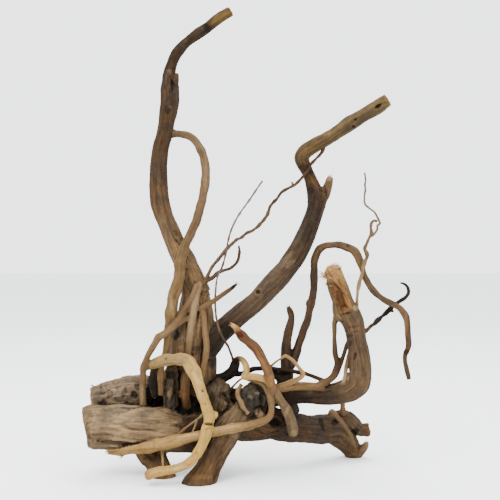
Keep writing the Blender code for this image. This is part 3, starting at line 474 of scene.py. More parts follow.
TONES = {
    # The log darkens to near black at its right end, where it runs in under the heart: painted shade.
    "log": [(156, 132, 104), (180, 154, 121), (176, 150, 117), (154, 129, 99), (84, 66, 51), (50, 40, 32)],
    "log_back": [(164, 144, 120), (158, 138, 116), (150, 130, 108), (128, 108, 88), DARK],
    "column": [
        (122, 96, 72), (142, 114, 86), (140, 113, 86), (146, 119, 90), (146, 119, 90), (138, 112, 82),
    ],
    "heart": [DARK, BROWN, (138, 119, 96), (136, 117, 94), BROWN, DARK],
    "grey_boss": [CHARCOAL, (104, 90, 70), (112, 97, 76), (90, 76, 59)],
    "round_knot": [DARK, (78, 70, 60), (88, 78, 66), (76, 66, 54)],
    "grey_post": [CHARCOAL, (84, 72, 60), (100, 86, 70), (84, 70, 56), BROWN],
    "red_post": [(70, 50, 36), (120, 90, 61), (130, 99, 68), (108, 84, 62)],
    "dark_post": [(84, 62, 44), (60, 44, 34), ROT_AND_SHADE],
    "bar_post": [(58, 48, 40), (70, 62, 54), (60, 50, 42)],
    "under_root": [(96, 76, 56), (92, 72, 54), (76, 60, 48)],
    "boss_bridge": [(56, 46, 38), ROT_AND_SHADE, (60, 50, 42)],
    "spike_shelf": [(52, 42, 34), (60, 50, 42), (50, 40, 33)],
    "front_foot": [(140, 120, 95), (134, 112, 88), (116, 93, 70), (108, 85, 64), (120, 95, 70)],
    "left_foot": [(134, 103, 72), (146, 113, 80), (154, 120, 86)],
    "back_foot": [DARK, BROWN, (116, 92, 68)],
    "lower_limb": [(108, 86, 64), (82, 65, 50), (90, 73, 58), (98, 80, 63), (106, 85, 64), (138, 112, 84)],
    "foot_knob": [DARK, (98, 82, 66), (116, 95, 75), (116, 91, 69)],
    "foot_claw": [(118, 94, 70), (148, 119, 90), (176, 146, 114)],
    "left_limb": [
        (136, 111, 83), (144, 117, 88), (146, 119, 90), (122, 98, 74), (104, 83, 63), (92, 72, 56),
        (88, 69, 52), (88, 68, 51), (72, 56, 43), (70, 54, 41), (84, 66, 44), (128, 103, 66),
    ],
    "left_nub": [(84, 65, 49), (104, 80, 58)],
    "right_limb": [
        (64, 50, 40), (76, 61, 49), (106, 89, 73), (120, 102, 84), (102, 85, 69), (86, 71, 57),
        (86, 70, 56), (80, 61, 45), (96, 76, 54), (116, 96, 68), (122, 103, 74), (114, 97, 70),
        (132, 110, 80),
    ],
    "right_nub": [(96, 79, 62), (138, 114, 84)],
    "arm": [
        (52, 40, 30), (62, 47, 36), (74, 57, 43), (84, 65, 50), (118, 96, 74), (123, 102, 80),
        (119, 98, 77), (117, 96, 75), (126, 104, 80), (162, 126, 87), PEEL,
    ],
    "stub_lip": [(132, 112, 87), (150, 120, 86)],
    "dark_arm": [(48, 39, 32), (40, 32, 27)],
    "spike": [(60, 48, 39), (84, 67, 53), (98, 79, 62), (92, 74, 58)],
    "loop_root": [
        (108, 86, 66), (148, 124, 97), (140, 116, 89), (124, 101, 77), (132, 108, 80), (144, 117, 84),
        (138, 113, 80), (142, 115, 82), (128, 103, 76),
    ],
    "rising_root": [
        (132, 108, 82), (128, 104, 78), (130, 106, 80), (144, 118, 88), (118, 95, 71), (140, 113, 84),
    ],
    "rising_fork": [(144, 116, 86), (120, 94, 70)],
    "column_rib": [(160, 134, 102), (166, 141, 110), (156, 130, 98), (128, 103, 78)],
    "loose_rib": [(138, 111, 82), (146, 118, 88), (140, 111, 80)],
    "pale_arch": [
        (132, 107, 76), (188, 156, 106), (208, 173, 114), (214, 178, 112), (216, 178, 106), (206, 169, 103),
        (208, 170, 103), (206, 169, 102), (198, 160, 105),
    ],
    "arch_knuckle": [STRAW, (220, 184, 122)],
    "floor_strip": [
        (178, 140, 90), (184, 148, 98), (190, 156, 104), (180, 148, 100), (154, 124, 88), (138, 113, 84),
        (150, 125, 94),
    ],
    "snag_root": [
        CREAM, (112, 80, 58), (120, 90, 66), (132, 99, 71), (138, 104, 75), (138, 106, 77), (138, 110, 83),
        (138, 113, 88),
    ],
    "cream_root": [(208, 170, 112), CREAM, (204, 166, 110)],
    "small_hook": [ROT_AND_SHADE, (120, 98, 72), (208, 174, 118), (206, 170, 114)],
    "back_rod": [ROT_AND_SHADE, (56, 44, 36), (76, 58, 45)],
    "lift_root": [
        (140, 112, 82), (120, 95, 72), (94, 74, 57), (102, 81, 62), (114, 92, 69), (124, 101, 76),
    ],
    "lift_fork": [(80, 61, 46), (96, 76, 56)],
    "stub_sliver": [(196, 172, 136), (130, 104, 78), (110, 86, 64)],
    "saddle_root": [(136, 108, 78), (142, 116, 84), (138, 110, 80)],
    "ring_root": [(110, 84, 60), (164, 130, 92), (174, 140, 98), (172, 138, 98), (160, 128, 92)],
    "leaf_root": [(138, 116, 90), (126, 106, 82), (128, 108, 85), (120, 101, 79)],
    "arch_root": [
        (84, 67, 53), (100, 79, 62), (104, 82, 65), (92, 71, 53), (126, 101, 76), (132, 107, 81),
        (134, 109, 84), (124, 100, 77), (106, 85, 65), (104, 84, 66),
    ],
    "limb_strip": [(148, 124, 94), (142, 118, 88), (130, 106, 80)],
    "link_post": [(138, 108, 78), (120, 94, 68)],
    "back_root": [(116, 93, 70), (142, 116, 86), (134, 108, 80)],
    "back_runner": [(124, 98, 72), (118, 94, 70), (98, 78, 60)],
    "side_stub": [(142, 114, 84), (130, 103, 76), (84, 65, 50)],
    "wandering_twig": [(140, 114, 88), (126, 101, 78), (112, 89, 68), (86, 69, 55)],
    "twig_spur": [(150, 120, 88), (150, 120, 88)],
    "curved_twig": [(132, 107, 82), (110, 88, 67), (88, 69, 54)],
    "whisker": [(150, 138, 130), (146, 130, 118), (128, 106, 88), (110, 84, 66)],
    "curling_twig": [(176, 148, 112), (170, 142, 106), (160, 132, 98), (142, 118, 90)],
    "curl_tip": [(150, 130, 104), (140, 128, 112), (130, 124, 116)],
    "hooked_twig": [(128, 100, 72), (62, 49, 40), (46, 38, 32), (70, 56, 45), (48, 40, 34)],
    "hook_spur": [(50, 41, 34), (62, 50, 40)],
    "log_whisker": [(150, 120, 90), (178, 148, 112)],
    "log_hair": [(180, 148, 108), (150, 120, 88)],
    "drip_root": [(180, 150, 110), (204, 176, 132)],
    "gap_hair": [(110, 80, 58), (130, 100, 74)],
    "knot_rim": [(170, 140, 104), (176, 146, 110)],
}
print("tones for", len(TONES), "limbs")

# %% [markdown]
# The renderer counts in linear light, so the tones are converted. The room is bright and its film curve
# greys what is dark, so each tone is also made deeper and warmer than it looks. The room could be made
# darker instead, but then its soft shadows would go too.

# %% Linear light
DEPTH = 0.52  # share of a tone that is kept
CONTRAST = 1.2  # over 1, dark tones are taken down further than light ones
WARMTH = (1.14, 1.6)  # how far a light and a dark tone are taken from grey
WARMTH_FALL = 12  # how soon a tone counts as light
LEAST_LIGHT = 0.001


def linear(colour):
    """Linear light for a colour that is given from 0 to 255, by the standard curve of screens."""
    value = np.asarray(colour, float) / 255
    value = np.where(value <= 0.04045, value / 12.92, ((value + 0.055) / 1.055) ** 2.4)
    grey = value.mean(axis=-1, keepdims=True)
    warmth = WARMTH[0] + (WARMTH[1] - WARMTH[0]) * (1 - grey) ** WARMTH_FALL
    value = np.clip(grey + (value - grey) * warmth, LEAST_LIGHT, 1)
    return value * grey ** (CONTRAST - 1) * DEPTH


print("straw in linear light:", [round(v, 3) for v in linear(STRAW)])

# %% [markdown]
# What makes a root look grown is in its marks: hollows where a branch rotted away, knots, a torn scar, bands
# where the bark stops. Noise would scatter them evenly, so they are listed one by one. A mark is a leaning
# oval on the drawing, on one limb. It tints the wood towards its tone, and sinks it by some units, or raises
# it where the number is negative. A positive lean turns the oval clockwise: its width points to the lower
# right, and its height leans to the right at the top.

# %% Marks
# Some marks are painted light: the near-black ones in deep hollows and creases are painted shade, and a few
# pale streaks on the right limb are a painted highlight.
# limb: [(across, up, half width, half height, lean in degrees, tone, strength, sink), ...]
MARKS = {
    "left_limb": [
        (-83.6, 396, 1, 8, 8, (132, 108, 82), 0.6, -0.4), (-75.5, 373, 3, 7, 0, (104, 74, 56), 0.5, 0),
        (-85.5, 378, 1.2, 6, 0, (124, 102, 80), 0.5, -0.3),
        (-80, 366, 2.4, 1.6, 20, (128, 104, 80), 0.45, -0.3),
        (-77.3, 388, 1.7, 6, -4, (44, 34, 27), 0.7, 1.3),
        (-80.5, 401, 2.4, 3, 0, (128, 102, 70), 0.6, -0.5), (-83, 363, 2.6, 5, 0, ROT_AND_SHADE, 0.4, 0.5),
        (-74, 240, 2, 4, -25, DARK, 0.5, 0.5), (-73, 232, 1.2, 2.4, -25, DARK, 0.5, 0.4),
        (-42.5, 444.5, 3.4, 5.5, -35, ROT_AND_SHADE, 0.75, 0.4), (-49, 441, 5, 3, -35, DARK, 0.4, 0),
        (-30, 455.5, 10, 4.2, -35, GOLD, 0.75, 0), (-86, 300, 3, 16, -6, DARK, 0.35, 0.3),
        (-92, 268, 3, 12, 0, DARK, 0.3, 0.3), (-72, 222, 4, 10, -25, SAND, 0.35, -0.2),
        (-78, 376, 4, 8, 0, CHARCOAL, 0.5, -0.4), (-66, 430, 5, 3, -40, BROWN, 0.4, 0),
        (-84, 346, 5, 5, 0, CHARCOAL, 0.45, 0.4),
    ],
    "right_limb": [
        (8, 181, 2.6, 2.2, 40, ROT_AND_SHADE, 0.95, 1.8), (8, 181, 5.2, 4.4, 40, TAN, 0.45, -0.8),
        (-6, 166, 6, 2.6, -40, (120, 92, 72), 0.45, -0.3), (128, 367, 3.4, 1.8, -30, ROT_AND_SHADE, 0.9, 1.6),
        (103.5, 346.5, 1.6, 1.3, 0, ROT_AND_SHADE, 0.8, 0.8), (105.5, 353.5, 1.4, 1.1, 0, ROT_AND_SHADE, 0.8, 0.7),
        # The pale grey streaks at (40, 209), (34, 211) and (24, 196) are a painted highlight along the limb's
        # upper side.
        (40, 209, 6, 3.2, -40, (142, 125, 104), 0.5, -0.3),
        (34, 211, 16, 3.2, -44, (146, 128, 106), 0.35, -0.2),
        (24, 196, 9, 2.4, -44, (140, 122, 100), 0.3, 0), (57, 304, 9, 4, 30, ROT_AND_SHADE, 0.6, 0.2),
        (60, 282, 3.4, 4, 20, ROT_AND_SHADE, 0.5, 0.4), (62, 268, 2.4, 7, 20, CHARCOAL, 0.4, 0.3),
        (66, 288, 2, 10, -28, (134, 102, 76), 0.5, 0), (84, 344, 14, 3, -30, (164, 137, 98), 0.5, -0.2),
        (112, 361, 16, 2.6, -30, (160, 132, 94), 0.4, 0), (52, 322, 6, 4, -40, (140, 114, 84), 0.4, 0),
        (-22, 142, 10, 9, 40, ROT_AND_SHADE, 0.6, 0.2), (20, 180, 9, 3, -45, DARK, 0.45, 0.4),
        (58, 240, 4, 12, 20, ROT_AND_SHADE, 0.35, 0.4), (48, 236, 3, 12, 25, (104, 92, 78), 0.5, 0),
        (136, 373, 3.5, 7, -30, GOLD, 0.6, 0),
    ],
    "right_nub": [(75.5, 282, 1.4, 7, -14, DARK, 0.6, 0.8), (80, 295, 3, 3, 0, (176, 148, 110), 0.7, 0)],
    "arm": [
        (89, 180, 7.5, 20, -21, (160, 114, 74), 0.95, 1.3), (90, 172, 5, 11, -21, (108, 74, 48), 0.9, 1.0),
        (84, 197, 7, 7, -15, (206, 160, 110), 0.85, 0.2),
        (97, 176, 1.8, 13, -21, (178, 134, 88), 0.85, -0.8),
        (89, 184, 10, 0.9, 44, (112, 74, 48), 0.8, 0.7), (91, 186.5, 9, 1, 44, (198, 148, 98), 0.7, -0.5),
        (96, 163, 3, 2.4, 0, (158, 110, 70), 0.8, -0.9), (96, 159.6, 5, 1, -8, (92, 62, 42), 0.8, 0.5),
        (81.5, 178, 1.6, 14, -21, (146, 118, 86), 0.6, -0.3),
        (95, 166.6, 3.6, 0.7, 10, (96, 64, 42), 0.7, 0.4), (100, 137, 4, 1.8, -10, (98, 78, 58), 0.7, 0.7),
        (104, 146.5, 5, 1, -8, (104, 84, 64), 0.6, 0.6), (105, 141, 5, 1, -6, (104, 84, 64), 0.45, 0.5),
        (105, 117, 1.8, 4, 15, (84, 66, 50), 0.8, 1), (106, 165, 3.5, 3, 0, (196, 164, 122), 0.7, -0.7),
        (99, 129, 2.4, 3, 0, DARK, 0.6, 0.5), (95, 96, 4, 4, 0, (196, 172, 136), 0.7, -0.2),
        (76, 78, 14, 5, 0, (60, 46, 37), 0.5, 0.3), (48, 74, 14, 5, 0, ROT_AND_SHADE, 0.5, 0.3),
        (107, 88, 8, 6, 0, (126, 102, 76), 0.5, 0), (114, 112, 3, 22, 0, (112, 90, 68), 0.4, 0.2),
    ],
    "pale_arch": [
        (-95, 109.5, 1.3, 0.8, 20, (112, 82, 52), 0.6, 0.3),
        (-66, 114.5, 1.4, 0.7, 0, (120, 90, 58), 0.6, 0.3),
        (-58, 103, 0.8, 1.4, -20, (120, 90, 58), 0.6, 0.3),
        (-45, 69, 0.8, 1.8, -14, (118, 88, 56), 0.6, 0.3),
        (-53.5, 20, 1.4, 0.8, 40, (122, 92, 60), 0.6, 0.3), (-62, 8, 1.6, 0.7, 10, (130, 98, 64), 0.5, 0.2),
        (-90, 0.5, 1.6, 0.8, 0, (122, 92, 60), 0.55, 0.3),
        (-50, 79, 1.4, 6, -16, (232, 202, 150), 0.45, -0.2),
        (-66, 6.5, 7, 1, -14, (196, 154, 98), 0.45, 0.2), (-84.3, 114.2, 1.2, 1.2, 0, ROT_AND_SHADE, 0.85, 0.7),
        (-47.3, 82, 1.5, 1.2, 20, DARK, 0.8, 0.6), (-40.5, 49, 6, 1.5, 6, DARK, 0.85, 1.4),
        (-42, 44.5, 4, 1.2, -20, (150, 112, 78), 0.6, 0.5), (-49, 87, 5, 3, 0, (196, 160, 108), 0.4, -0.3),
        (-103.5, -1, 3, 4, 0, (176, 134, 90), 0.7, 0.3), (-70, 5, 10, 2, -8, (220, 192, 148), 0.5, 0),
        (-76, 113, 14, 6, 0, (170, 142, 104), 0.75, 0), (-97, 108, 6, 4, 0, (186, 154, 108), 0.4, 0),
        (-52, 94, 3, 8, -15, (226, 194, 140), 0.4, 0),
    ],
    "floor_strip": [
        (-137, 21, 6, 1, -4, (150, 116, 76), 0.6, 0.5), (-110, 23, 18, 1, -4, (150, 118, 80), 0.45, 0.4),
        (-96, 27.5, 1.4, 5, 0, (156, 126, 92), 0.5, 0.4), (-22, 46, 16, 2, -6, (196, 166, 122), 0.5, 0),
        (0, 44, 8, 2, -14, (120, 92, 66), 0.5, 0.4), (-60, 38, 8, 1.4, -8, (212, 182, 136), 0.5, 0),
    ],
    "snag_root": [
        (-10.5, 138.5, 4.4, 3, 40, (84, 42, 26), 0.9, 0.5), (-16.5, 147.5, 2.6, 2.2, 45, CREAM, 0.85, 0),
        (12, 112, 2, 14, -28, (176, 132, 90), 0.5, 0), (20.5, 92, 3.4, 6, 0, (176, 132, 90), 0.5, -0.2),
        (5, 121, 1.6, 10, -45, DEEP_RUST, 0.4, 0.3),
    ],
    "log": [
        # The greyed bands at (-132, 64) and (-118, 67) are painted shade in the crease under log_back, and
        # the dark patch at (-56, 47) is painted shade under the heart.
        (-116, 40, 20, 7, 4, (196, 162, 122), 0.4, -0.2), (-146, 56, 9, 5, -6, (128, 112, 94), 0.5, 0.2),
        (-96, 50, 9, 5, 0, (186, 160, 126), 0.35, 0), (-150, 36, 14, 4, -4, (150, 122, 94), 0.5, 0.5),
        (-118, 52, 24, 4, 4, (196, 170, 134), 0.6, -0.5), (-132, 64, 16, 4, -4, (120, 108, 94), 0.7, 0.8),
        (-104, 60, 10, 3.5, -10, (132, 118, 100), 0.6, 0.4), (-86, 36, 26, 5, 0, (190, 160, 122), 0.5, 0),
        (-56, 47, 16, 9, 0, (62, 48, 38), 0.8, 0.8), (-132, 29, 22, 2.6, 6, DARK, 0.8, 1.6),
        (-98, 28, 16, 2, 8, DARK, 0.7, 1.2), (-160, 56, 3, 7, 10, (140, 116, 90), 0.5, 0.6),
        (-163, 40, 3, 10, 0, (126, 108, 88), 0.5, 0.3), (-140, 44, 12, 2, 8, (140, 112, 86), 0.5, 0.7),
        (-90, 52, 20, 2.4, -6, (126, 106, 84), 0.5, 0.6), (-74, 58, 10, 5, 0, (110, 94, 78), 0.6, 0),
        (-110, 44, 14, 1.8, 3, (142, 114, 88), 0.5, 0.5), (-70, 48, 12, 2, -6, (100, 80, 62), 0.6, 0.6),
        (-62, 66, 16, 7, 0, ROT_AND_SHADE, 0.9, 2), (-165, 68, 4, 4, 0, (150, 124, 96), 0.3, 0.8),
        (-118, 67, 12, 3.2, 0, (96, 84, 72), 0.7, 1),
    ],
    "log_back": [
        (-115.5, 78, 3.4, 4, -20, ROT_AND_SHADE, 0.75, 1.6), (-128, 74, 12, 3, -4, (112, 98, 84), 0.6, 1),
        (-132, 84, 8, 2, -8, (180, 156, 126), 0.5, -0.5), (-140, 78, 3, 5, 15, (112, 94, 76), 0.6, 1),
        (-122, 88, 7, 2, -8, (176, 150, 120), 0.45, -0.6), (-126, 80, 2.4, 6, 15, (104, 86, 70), 0.6, 1.1),
        (-149, 80, 4, 4, 0, (128, 108, 86), 0.5, 0.4), (-112, 88, 3, 5, 10, (100, 82, 66), 0.5, 1),
        (-99, 76, 5, 13, 0, ROT_AND_SHADE, 0.9, 3), (-92, 72, 5, 10, 0, ROT_AND_SHADE, 0.85, 3),
        (-86, 66, 10, 5, 0, ROT_AND_SHADE, 0.8, 2), (-135, 92, 4, 3, 0, (160, 136, 108), 0.4, 1),
    ],
    "heart": [
        (-62, 67, 14, 8, 0, ROT_AND_SHADE, 0.95, 5), (-86, 66, 6, 8, 0, ROT_AND_SHADE, 0.85, 3),
        (-50, 64, 6, 8, 0, ROT_AND_SHADE, 0.7, 2), (-20, 64, 12, 3, 35, (104, 84, 64), 0.5, 0.6),
        (-12, 76, 7, 8, 0, ROT_AND_SHADE, 0.75, 3), (14, 64, 6, 4, -20, ROT_AND_SHADE, 0.8, 3),
        (26, 50, 6, 5, 0, ROT_AND_SHADE, 0.9, 4), (-12, 52, 10, 3, 20, (168, 144, 112), 0.5, 0),
    ],
    "grey_boss": [
        (-28, 72, 6, 2, 30, (130, 108, 86), 0.6, -0.6), (-36, 66, 4, 1.6, -30, (140, 106, 76), 0.6, -0.4),
        (-24, 78, 4, 2, 50, ROT_AND_SHADE, 0.7, 1.2), (-20, 72, 4, 3, 0, ROT_AND_SHADE, 0.6, 1.2),
        (-38, 76, 3, 5, 0, ROT_AND_SHADE, 0.5, 0.8), (-30, 64, 4, 1.4, 20, (150, 104, 72), 0.5, -0.3),
    ],
    "round_knot": [
        (10, 64, 5, 3, -20, ROT_AND_SHADE, 0.85, 2.2), (0, 76, 3, 2, 30, (140, 130, 116), 0.6, -0.6),
        (8, 80, 2.6, 1.6, 0, (150, 142, 128), 0.6, -0.6), (9, 60, 4, 4, 0, (168, 140, 112), 0.8, -2),
        (4, 70, 2, 5, 10, CHARCOAL, 0.7, 1), (-4, 82, 4, 3, 20, (110, 100, 88), 0.5, -0.5),
        (12, 74, 2.4, 5, 0, ROT_AND_SHADE, 0.6, 1.2), (-2, 66, 3, 2, 0, CHARCOAL, 0.6, 0.8),
    ],
    "grey_post": [
        (-79, 98, 6, 4, 0, ROT_AND_SHADE, 0.6, 1), (-74, 86, 2, 8, 0, ROT_AND_SHADE, 0.5, 1),
        (-80, 80, 2, 6, 5, (140, 120, 96), 0.6, -0.6), (-80, 70, 4, 4, 0, (94, 88, 80), 0.5, -0.8),
    ],
    "column": [
        (-75, 138, 5, 5, -20, ROT_AND_SHADE, 0.75, 2), (-60, 118, 9, 2, -10, (120, 94, 70), 0.5, 0.8),
        (-66, 104, 14, 6, 0, (88, 68, 50), 0.6, 0.6), (-47, 120, 1.6, 22, 2, ROT_AND_SHADE, 0.7, 1.6),
        (-38, 116, 4, 12, 0, (58, 46, 37), 0.8, 1), (-70, 92, 12, 9, 0, ROT_AND_SHADE, 0.8, 3),
        (-56, 84, 12, 12, 0, ROT_AND_SHADE, 0.7, 2), (-62, 67, 14, 9, 0, ROT_AND_SHADE, 0.95, 5),
        (-66, 124, 7, 3, 10, (154, 128, 96), 0.5, -0.5), (-54, 124, 5, 3, -10, (92, 70, 52), 0.5, 0.5),
        (-44, 150, 2, 24, 2, (96, 74, 56), 0.6, 1.4), (-63, 150, 1.6, 22, -4, (100, 78, 58), 0.6, 1.4),
        (-51, 176, 1.4, 22, 3, (100, 78, 58), 0.6, 1.2), (-70, 136, 4, 3, 0, (158, 132, 100), 0.5, -0.4),
        (-40, 170, 2, 16, 8, (158, 132, 100), 0.4, -0.3), (-38, 134, 3, 10, 0, ROT_AND_SHADE, 0.6, 0.6),
    ],
    "front_foot": [
        (-40, 14, 4, 16, 12, (136, 110, 80), 0.4, -0.4), (-28, 26, 2.4, 16, 25, (88, 68, 50), 0.5, 0.8),
        (-52, -4, 14, 3, 0, (150, 116, 78), 0.5, 0), (-34, 2, 2, 12, 15, (92, 70, 52), 0.5, 0.7),
        (-44, 30, 5, 5, 0, (60, 46, 36), 0.6, 0.6), (-18, 40, 8, 4, 30, (156, 134, 108), 0.5, 0),
    ],
    "left_foot": [
        (-100, 20, 8, 8, 0, (64, 47, 34), 0.6, 0.5), (-76, 22, 5, 8, 0, ROT_AND_SHADE, 0.6, 0.5),
        (-90, -2, 14, 2.4, 0, (150, 112, 76), 0.6, -0.3),
    ],
    "lower_limb": [
        (22, 48, 10, 8, 0, ROT_AND_SHADE, 0.6, 0.6), (40, 58, 12, 3, 0, (100, 92, 82), 0.5, 0),
        (60, 40, 2, 4, 0, (112, 84, 62), 0.6, -0.4), (52, 50, 5, 3, 20, (96, 84, 70), 0.4, 0.4),
        (72, 50, 2, 9, -15, ROT_AND_SHADE, 0.5, 1), (34, 36, 14, 3, 0, (60, 47, 38), 0.5, 0.4),
        (80, 36, 2, 3, 0, (120, 92, 68), 0.5, -0.4), (86, 52, 3, 6, 40, ROT_AND_SHADE, 0.7, 1),
        (2, 34, 12, 3, -8, (128, 104, 78), 0.5, 0),
    ],
    "foot_knob": [
        (116, 45, 3, 5, 0, (120, 90, 68), 0.7, 0.8), (104, 40, 6, 3, -30, ROT_AND_SHADE, 0.8, 1.4),
        (98, 62, 6, 2, -40, (120, 98, 76), 0.5, -0.4),
    ],
    "spike": [
        (33, 118, 1.8, 16, 0, CHARCOAL, 0.5, 0.5), (40, 138, 1.6, 14, -8, (102, 82, 62), 0.5, -0.2),
        (38, 90, 6, 5, 0, CHARCOAL, 0.6, 0.4),
    ],
    "arch_root": [
        (44, 126, 1.8, 12, 18, ROT_AND_SHADE, 0.6, 0.5), (57.5, 170, 2.4, 3, 0, (92, 70, 52), 0.4, -1.2),
        (70, 225, 3, 3, -35, (96, 74, 54), 0.5, -0.6), (98, 228, 2, 1.6, 0, ROT_AND_SHADE, 0.5, 0.4),
        (156, 150, 1.4, 12, 0, (156, 126, 94), 0.4, 0), (156, 121, 3.4, 3, 0, ROT_AND_SHADE, 0.6, -0.5),
        (125, 184, 10, 1.4, 35, (162, 130, 94), 0.45, 0),
    ],
    "loop_root": [
        (-49, 320, 3, 6, -30, (104, 80, 60), 0.4, 0.3), (-45, 296, 1.6, 14, 0, (172, 144, 110), 0.4, -0.1),
        (-71, 207, 5, 5, 0, (120, 92, 66), 0.4, -0.9), (-78, 166, 2, 14, -10, (176, 146, 108), 0.45, -0.1),
        (-74, 182, 2, 10, 14, (116, 90, 64), 0.5, 0.5), (-57, 245, 2, 10, 25, (116, 90, 66), 0.4, 0.3),
    ],
    "small_hook": [(-14.5, 112, 3.4, 3.4, 0, ROT_AND_SHADE, 0.85, 0)],
    "rising_root": [
        (-92.5, 137, 3, 3, 0, (110, 86, 62), 0.4, -0.6), (-108, 76, 1.4, 12, 0, (170, 142, 108), 0.5, 0),
    ],
    "leaf_root": [
        (36, 60, 1.6, 16, 20, (170, 144, 110), 0.5, 0.2), (43, 40, 3.4, 3, 0, (166, 140, 104), 0.5, -0.4),
    ],
    "side_stub": [(-17, 186, 2.6, 3, 45, ROT_AND_SHADE, 0.7, 0.3)],
}
print("marks:", sum(len(spots) for spots in MARKS.values()))

# %% [markdown]
# A limb's stations are only a few points, so we draw a smooth curve through them, and let it wander a little:
# thick limbs hardly, rootlets a lot. Along each curve we also carry a pair of directions that don't twist.
# They give every place on the wood an address on its own limb: how far along, and which way out. Grain,
# grooves and growth rings are all laid in those addresses, which is why they follow each bend. A pattern
# laid in plain space would run straight through the bends, as in a carved copy.

# %% Smooth routes
SAMPLE = 0.0014  # distance between points on a limb's curve, in metres
BARK = {"limb": 0.4, "root": 0.35, "rootlet": 0.35}  # drawing units that carving and smoothing take off again


def curve_through(centres, radii):
    """A smooth curve through the stations, and the radius at each of its points."""
    points = np.vstack([2 * centres[0] - centres[1], centres, 2 * centres[-1] - centres[-2]])
    line = [centres[:1]]
    thick = [radii[:1]]
    for i in range(len(centres) - 1):
        before, start, end, after = points[i : i + 4]
        count = max(2, round(np.linalg.norm(end - start) / SAMPLE))
        t = np.linspace(0, 1, count + 1)[1:, None]
        bend = 2 * start + (end - before) * t
        bend = bend + (2 * before - 5 * start + 4 * end - after) * t**2
        bend = bend + (3 * start - before - 3 * end + after) * t**3
        line.append(bend / 2)
        thick.append(radii[i] + (radii[i + 1] - radii[i]) * t[:, 0])
    return np.vstack(line), np.concatenate(thick)


# %% Wander
WANDER = {"limb": 0.05, "root": 0.10, "rootlet": 0.32}  # share of the limb's radius
WANDER_LENGTH = {"limb": 0.030, "root": 0.016, "rootlet": 0.009}  # metres
WANDER_SHIFT = 7.3  # sets the wander of each limb apart from the last one's
WANDER_SEED = 4  # without it, vector noise is drawn anew each time that Blender starts
SWELL_PACE = 1.7  # the thickness varies this much faster than the route
SWELL_SHARE = 1.2
SWELL_SHIFT = Vector((0, 0, 5))

noise.seed_set(WANDER_SEED)


def let_wander(line, thick, along, kind, number):
    """Moves the points of a limb's curve and varies its thickness, in place, by soft noise."""
    for i, distance in enumerate(along):
        step = Vector((distance / WANDER_LENGTH[kind], number * WANDER_SHIFT, 0))
        line[i] += np.array(noise.noise_vector(step)) * thick[i] * WANDER[kind]
        thick[i] *= 1 + noise.noise(step * SWELL_PACE + SWELL_SHIFT) * WANDER[kind] * SWELL_SHARE


# %% Outward directions
FIRST_SIDE = (0.3, 1.0, 0.2)  # no limb starts out along this


def carried_directions(ahead):
    """One direction square to the curve at each point, carried along it without a twist."""
    out = np.empty_like(ahead)
    last = np.cross(ahead[0], FIRST_SIDE)
    for i, forward in enumerate(ahead):
        last = last - forward * last.dot(forward)
        last /= np.linalg.norm(last)
        out[i] = last
    return out


def smooth_route(stations, kind, number):
    """Centres, radii, distances and directions along a limb."""
    rows = np.array(stations, float)
    radii = (rows[:, 3] + BARK[kind]) * (1 + rows[:, 2] / EYE_DISTANCE) * UNIT
    line, thick = curve_through(placed(rows[:, :3]), radii)
    along = np.concatenate([[0], np.cumsum(np.linalg.norm(np.diff(line, axis=0), axis=1))])
    let_wander(line, thick, along, kind, number)
    ahead = np.gradient(line, axis=0)
    ahead /= np.linalg.norm(ahead, axis=1, keepdims=True)
    out = carried_directions(ahead)
    side = np.cross(ahead, out)
    return {"line": line, "thick": thick, "along": along, "ahead": ahead, "out": out, "side": side}


LIMBS = {**STUMP, **FEET, **TALL_LIMBS}
STATIONS = {**LIMBS, **ROOTS, **ROOTLETS}
KINDS = {
    **dict.fromkeys(LIMBS, "limb"),
    **dict.fromkeys(ROOTS, "root"),
    **dict.fromkeys(ROOTLETS, "rootlet"),
}
ROUTES = {name: smooth_route(STATIONS[name], KINDS[name], i) for i, name in enumerate(STATIONS)}
total_length = sum(route["along"][-1] for route in ROUTES.values())
print("limbs:", len(ROUTES), "total length", round(total_length, 2), "m")

# %% [markdown]
# Now the wood's body. Every limb is drawn as a curve with a round bevel whose thickness varies, and the
# curves are made one mesh. A voxel remesh then grows one closed skin over all of them, as bark and wood
# grow over a fork: tubes that only crossed are now fused. A Boolean union would keep a sharp crease at each
# fork, which no grown wood has. A light smoothing takes the voxel steps out.

# %% Tubes from curves
def pick(piece):
    """Selects this object alone and makes it active, so that an operator acts on nothing else."""
    if bpy.context.mode != "OBJECT":
        bpy.ops.object.mode_set(mode="OBJECT")
    bpy.ops.object.select_all(action="DESELECT")
    piece.select_set(True)
    bpy.context.view_layer.objects.active = piece


def blank_drawing(title, roundness):
    """A curve object with no splines yet. Each spline becomes a tube, as thick as its points' radius."""
    bpy.ops.object.select_all(action="DESELECT")
    bpy.ops.curve.primitive_bezier_curve_add(location=(0, 0, 0))
    drawing = bpy.context.active_object
    drawing.name = title
    drawing.data.splines.clear()
    drawing.data.dimensions = "3D"
    drawing.data.bevel_depth = 1
    drawing.data.bevel_resolution = roundness
    drawing.data.use_fill_caps = True
    return drawing


def as_mesh(drawing):
    """The drawing's tubes as one mesh object."""
    pick(drawing)
    bpy.ops.object.convert(target="MESH")
    return bpy.context.active_object


def tubes(title, names, roundness):
    """The named limbs as closed tubes in one mesh."""
    drawing = blank_drawing(title, roundness)
    for name in names:
        route = ROUTES[name]
        count = len(route["line"])
        spline = drawing.data.splines.new("POLY")
        spline.points.add(count - 1)
        spline.points.foreach_set("co", np.column_stack([route["line"], np.ones(count)]).ravel())
        spline.points.foreach_set("radius", route["thick"])
    return as_mesh(drawing)


HEAVY = [name for name in STATIONS if KINDS[name] != "rootlet"]
wood = tubes("root_wood", HEAVY, roundness=3)
print("tubes:", len(HEAVY), "points:", len(wood.data.vertices))

# %% One skin over many limbs
WOOD_VOXEL = 0.00096  # metres
SOFTENING = 0.5


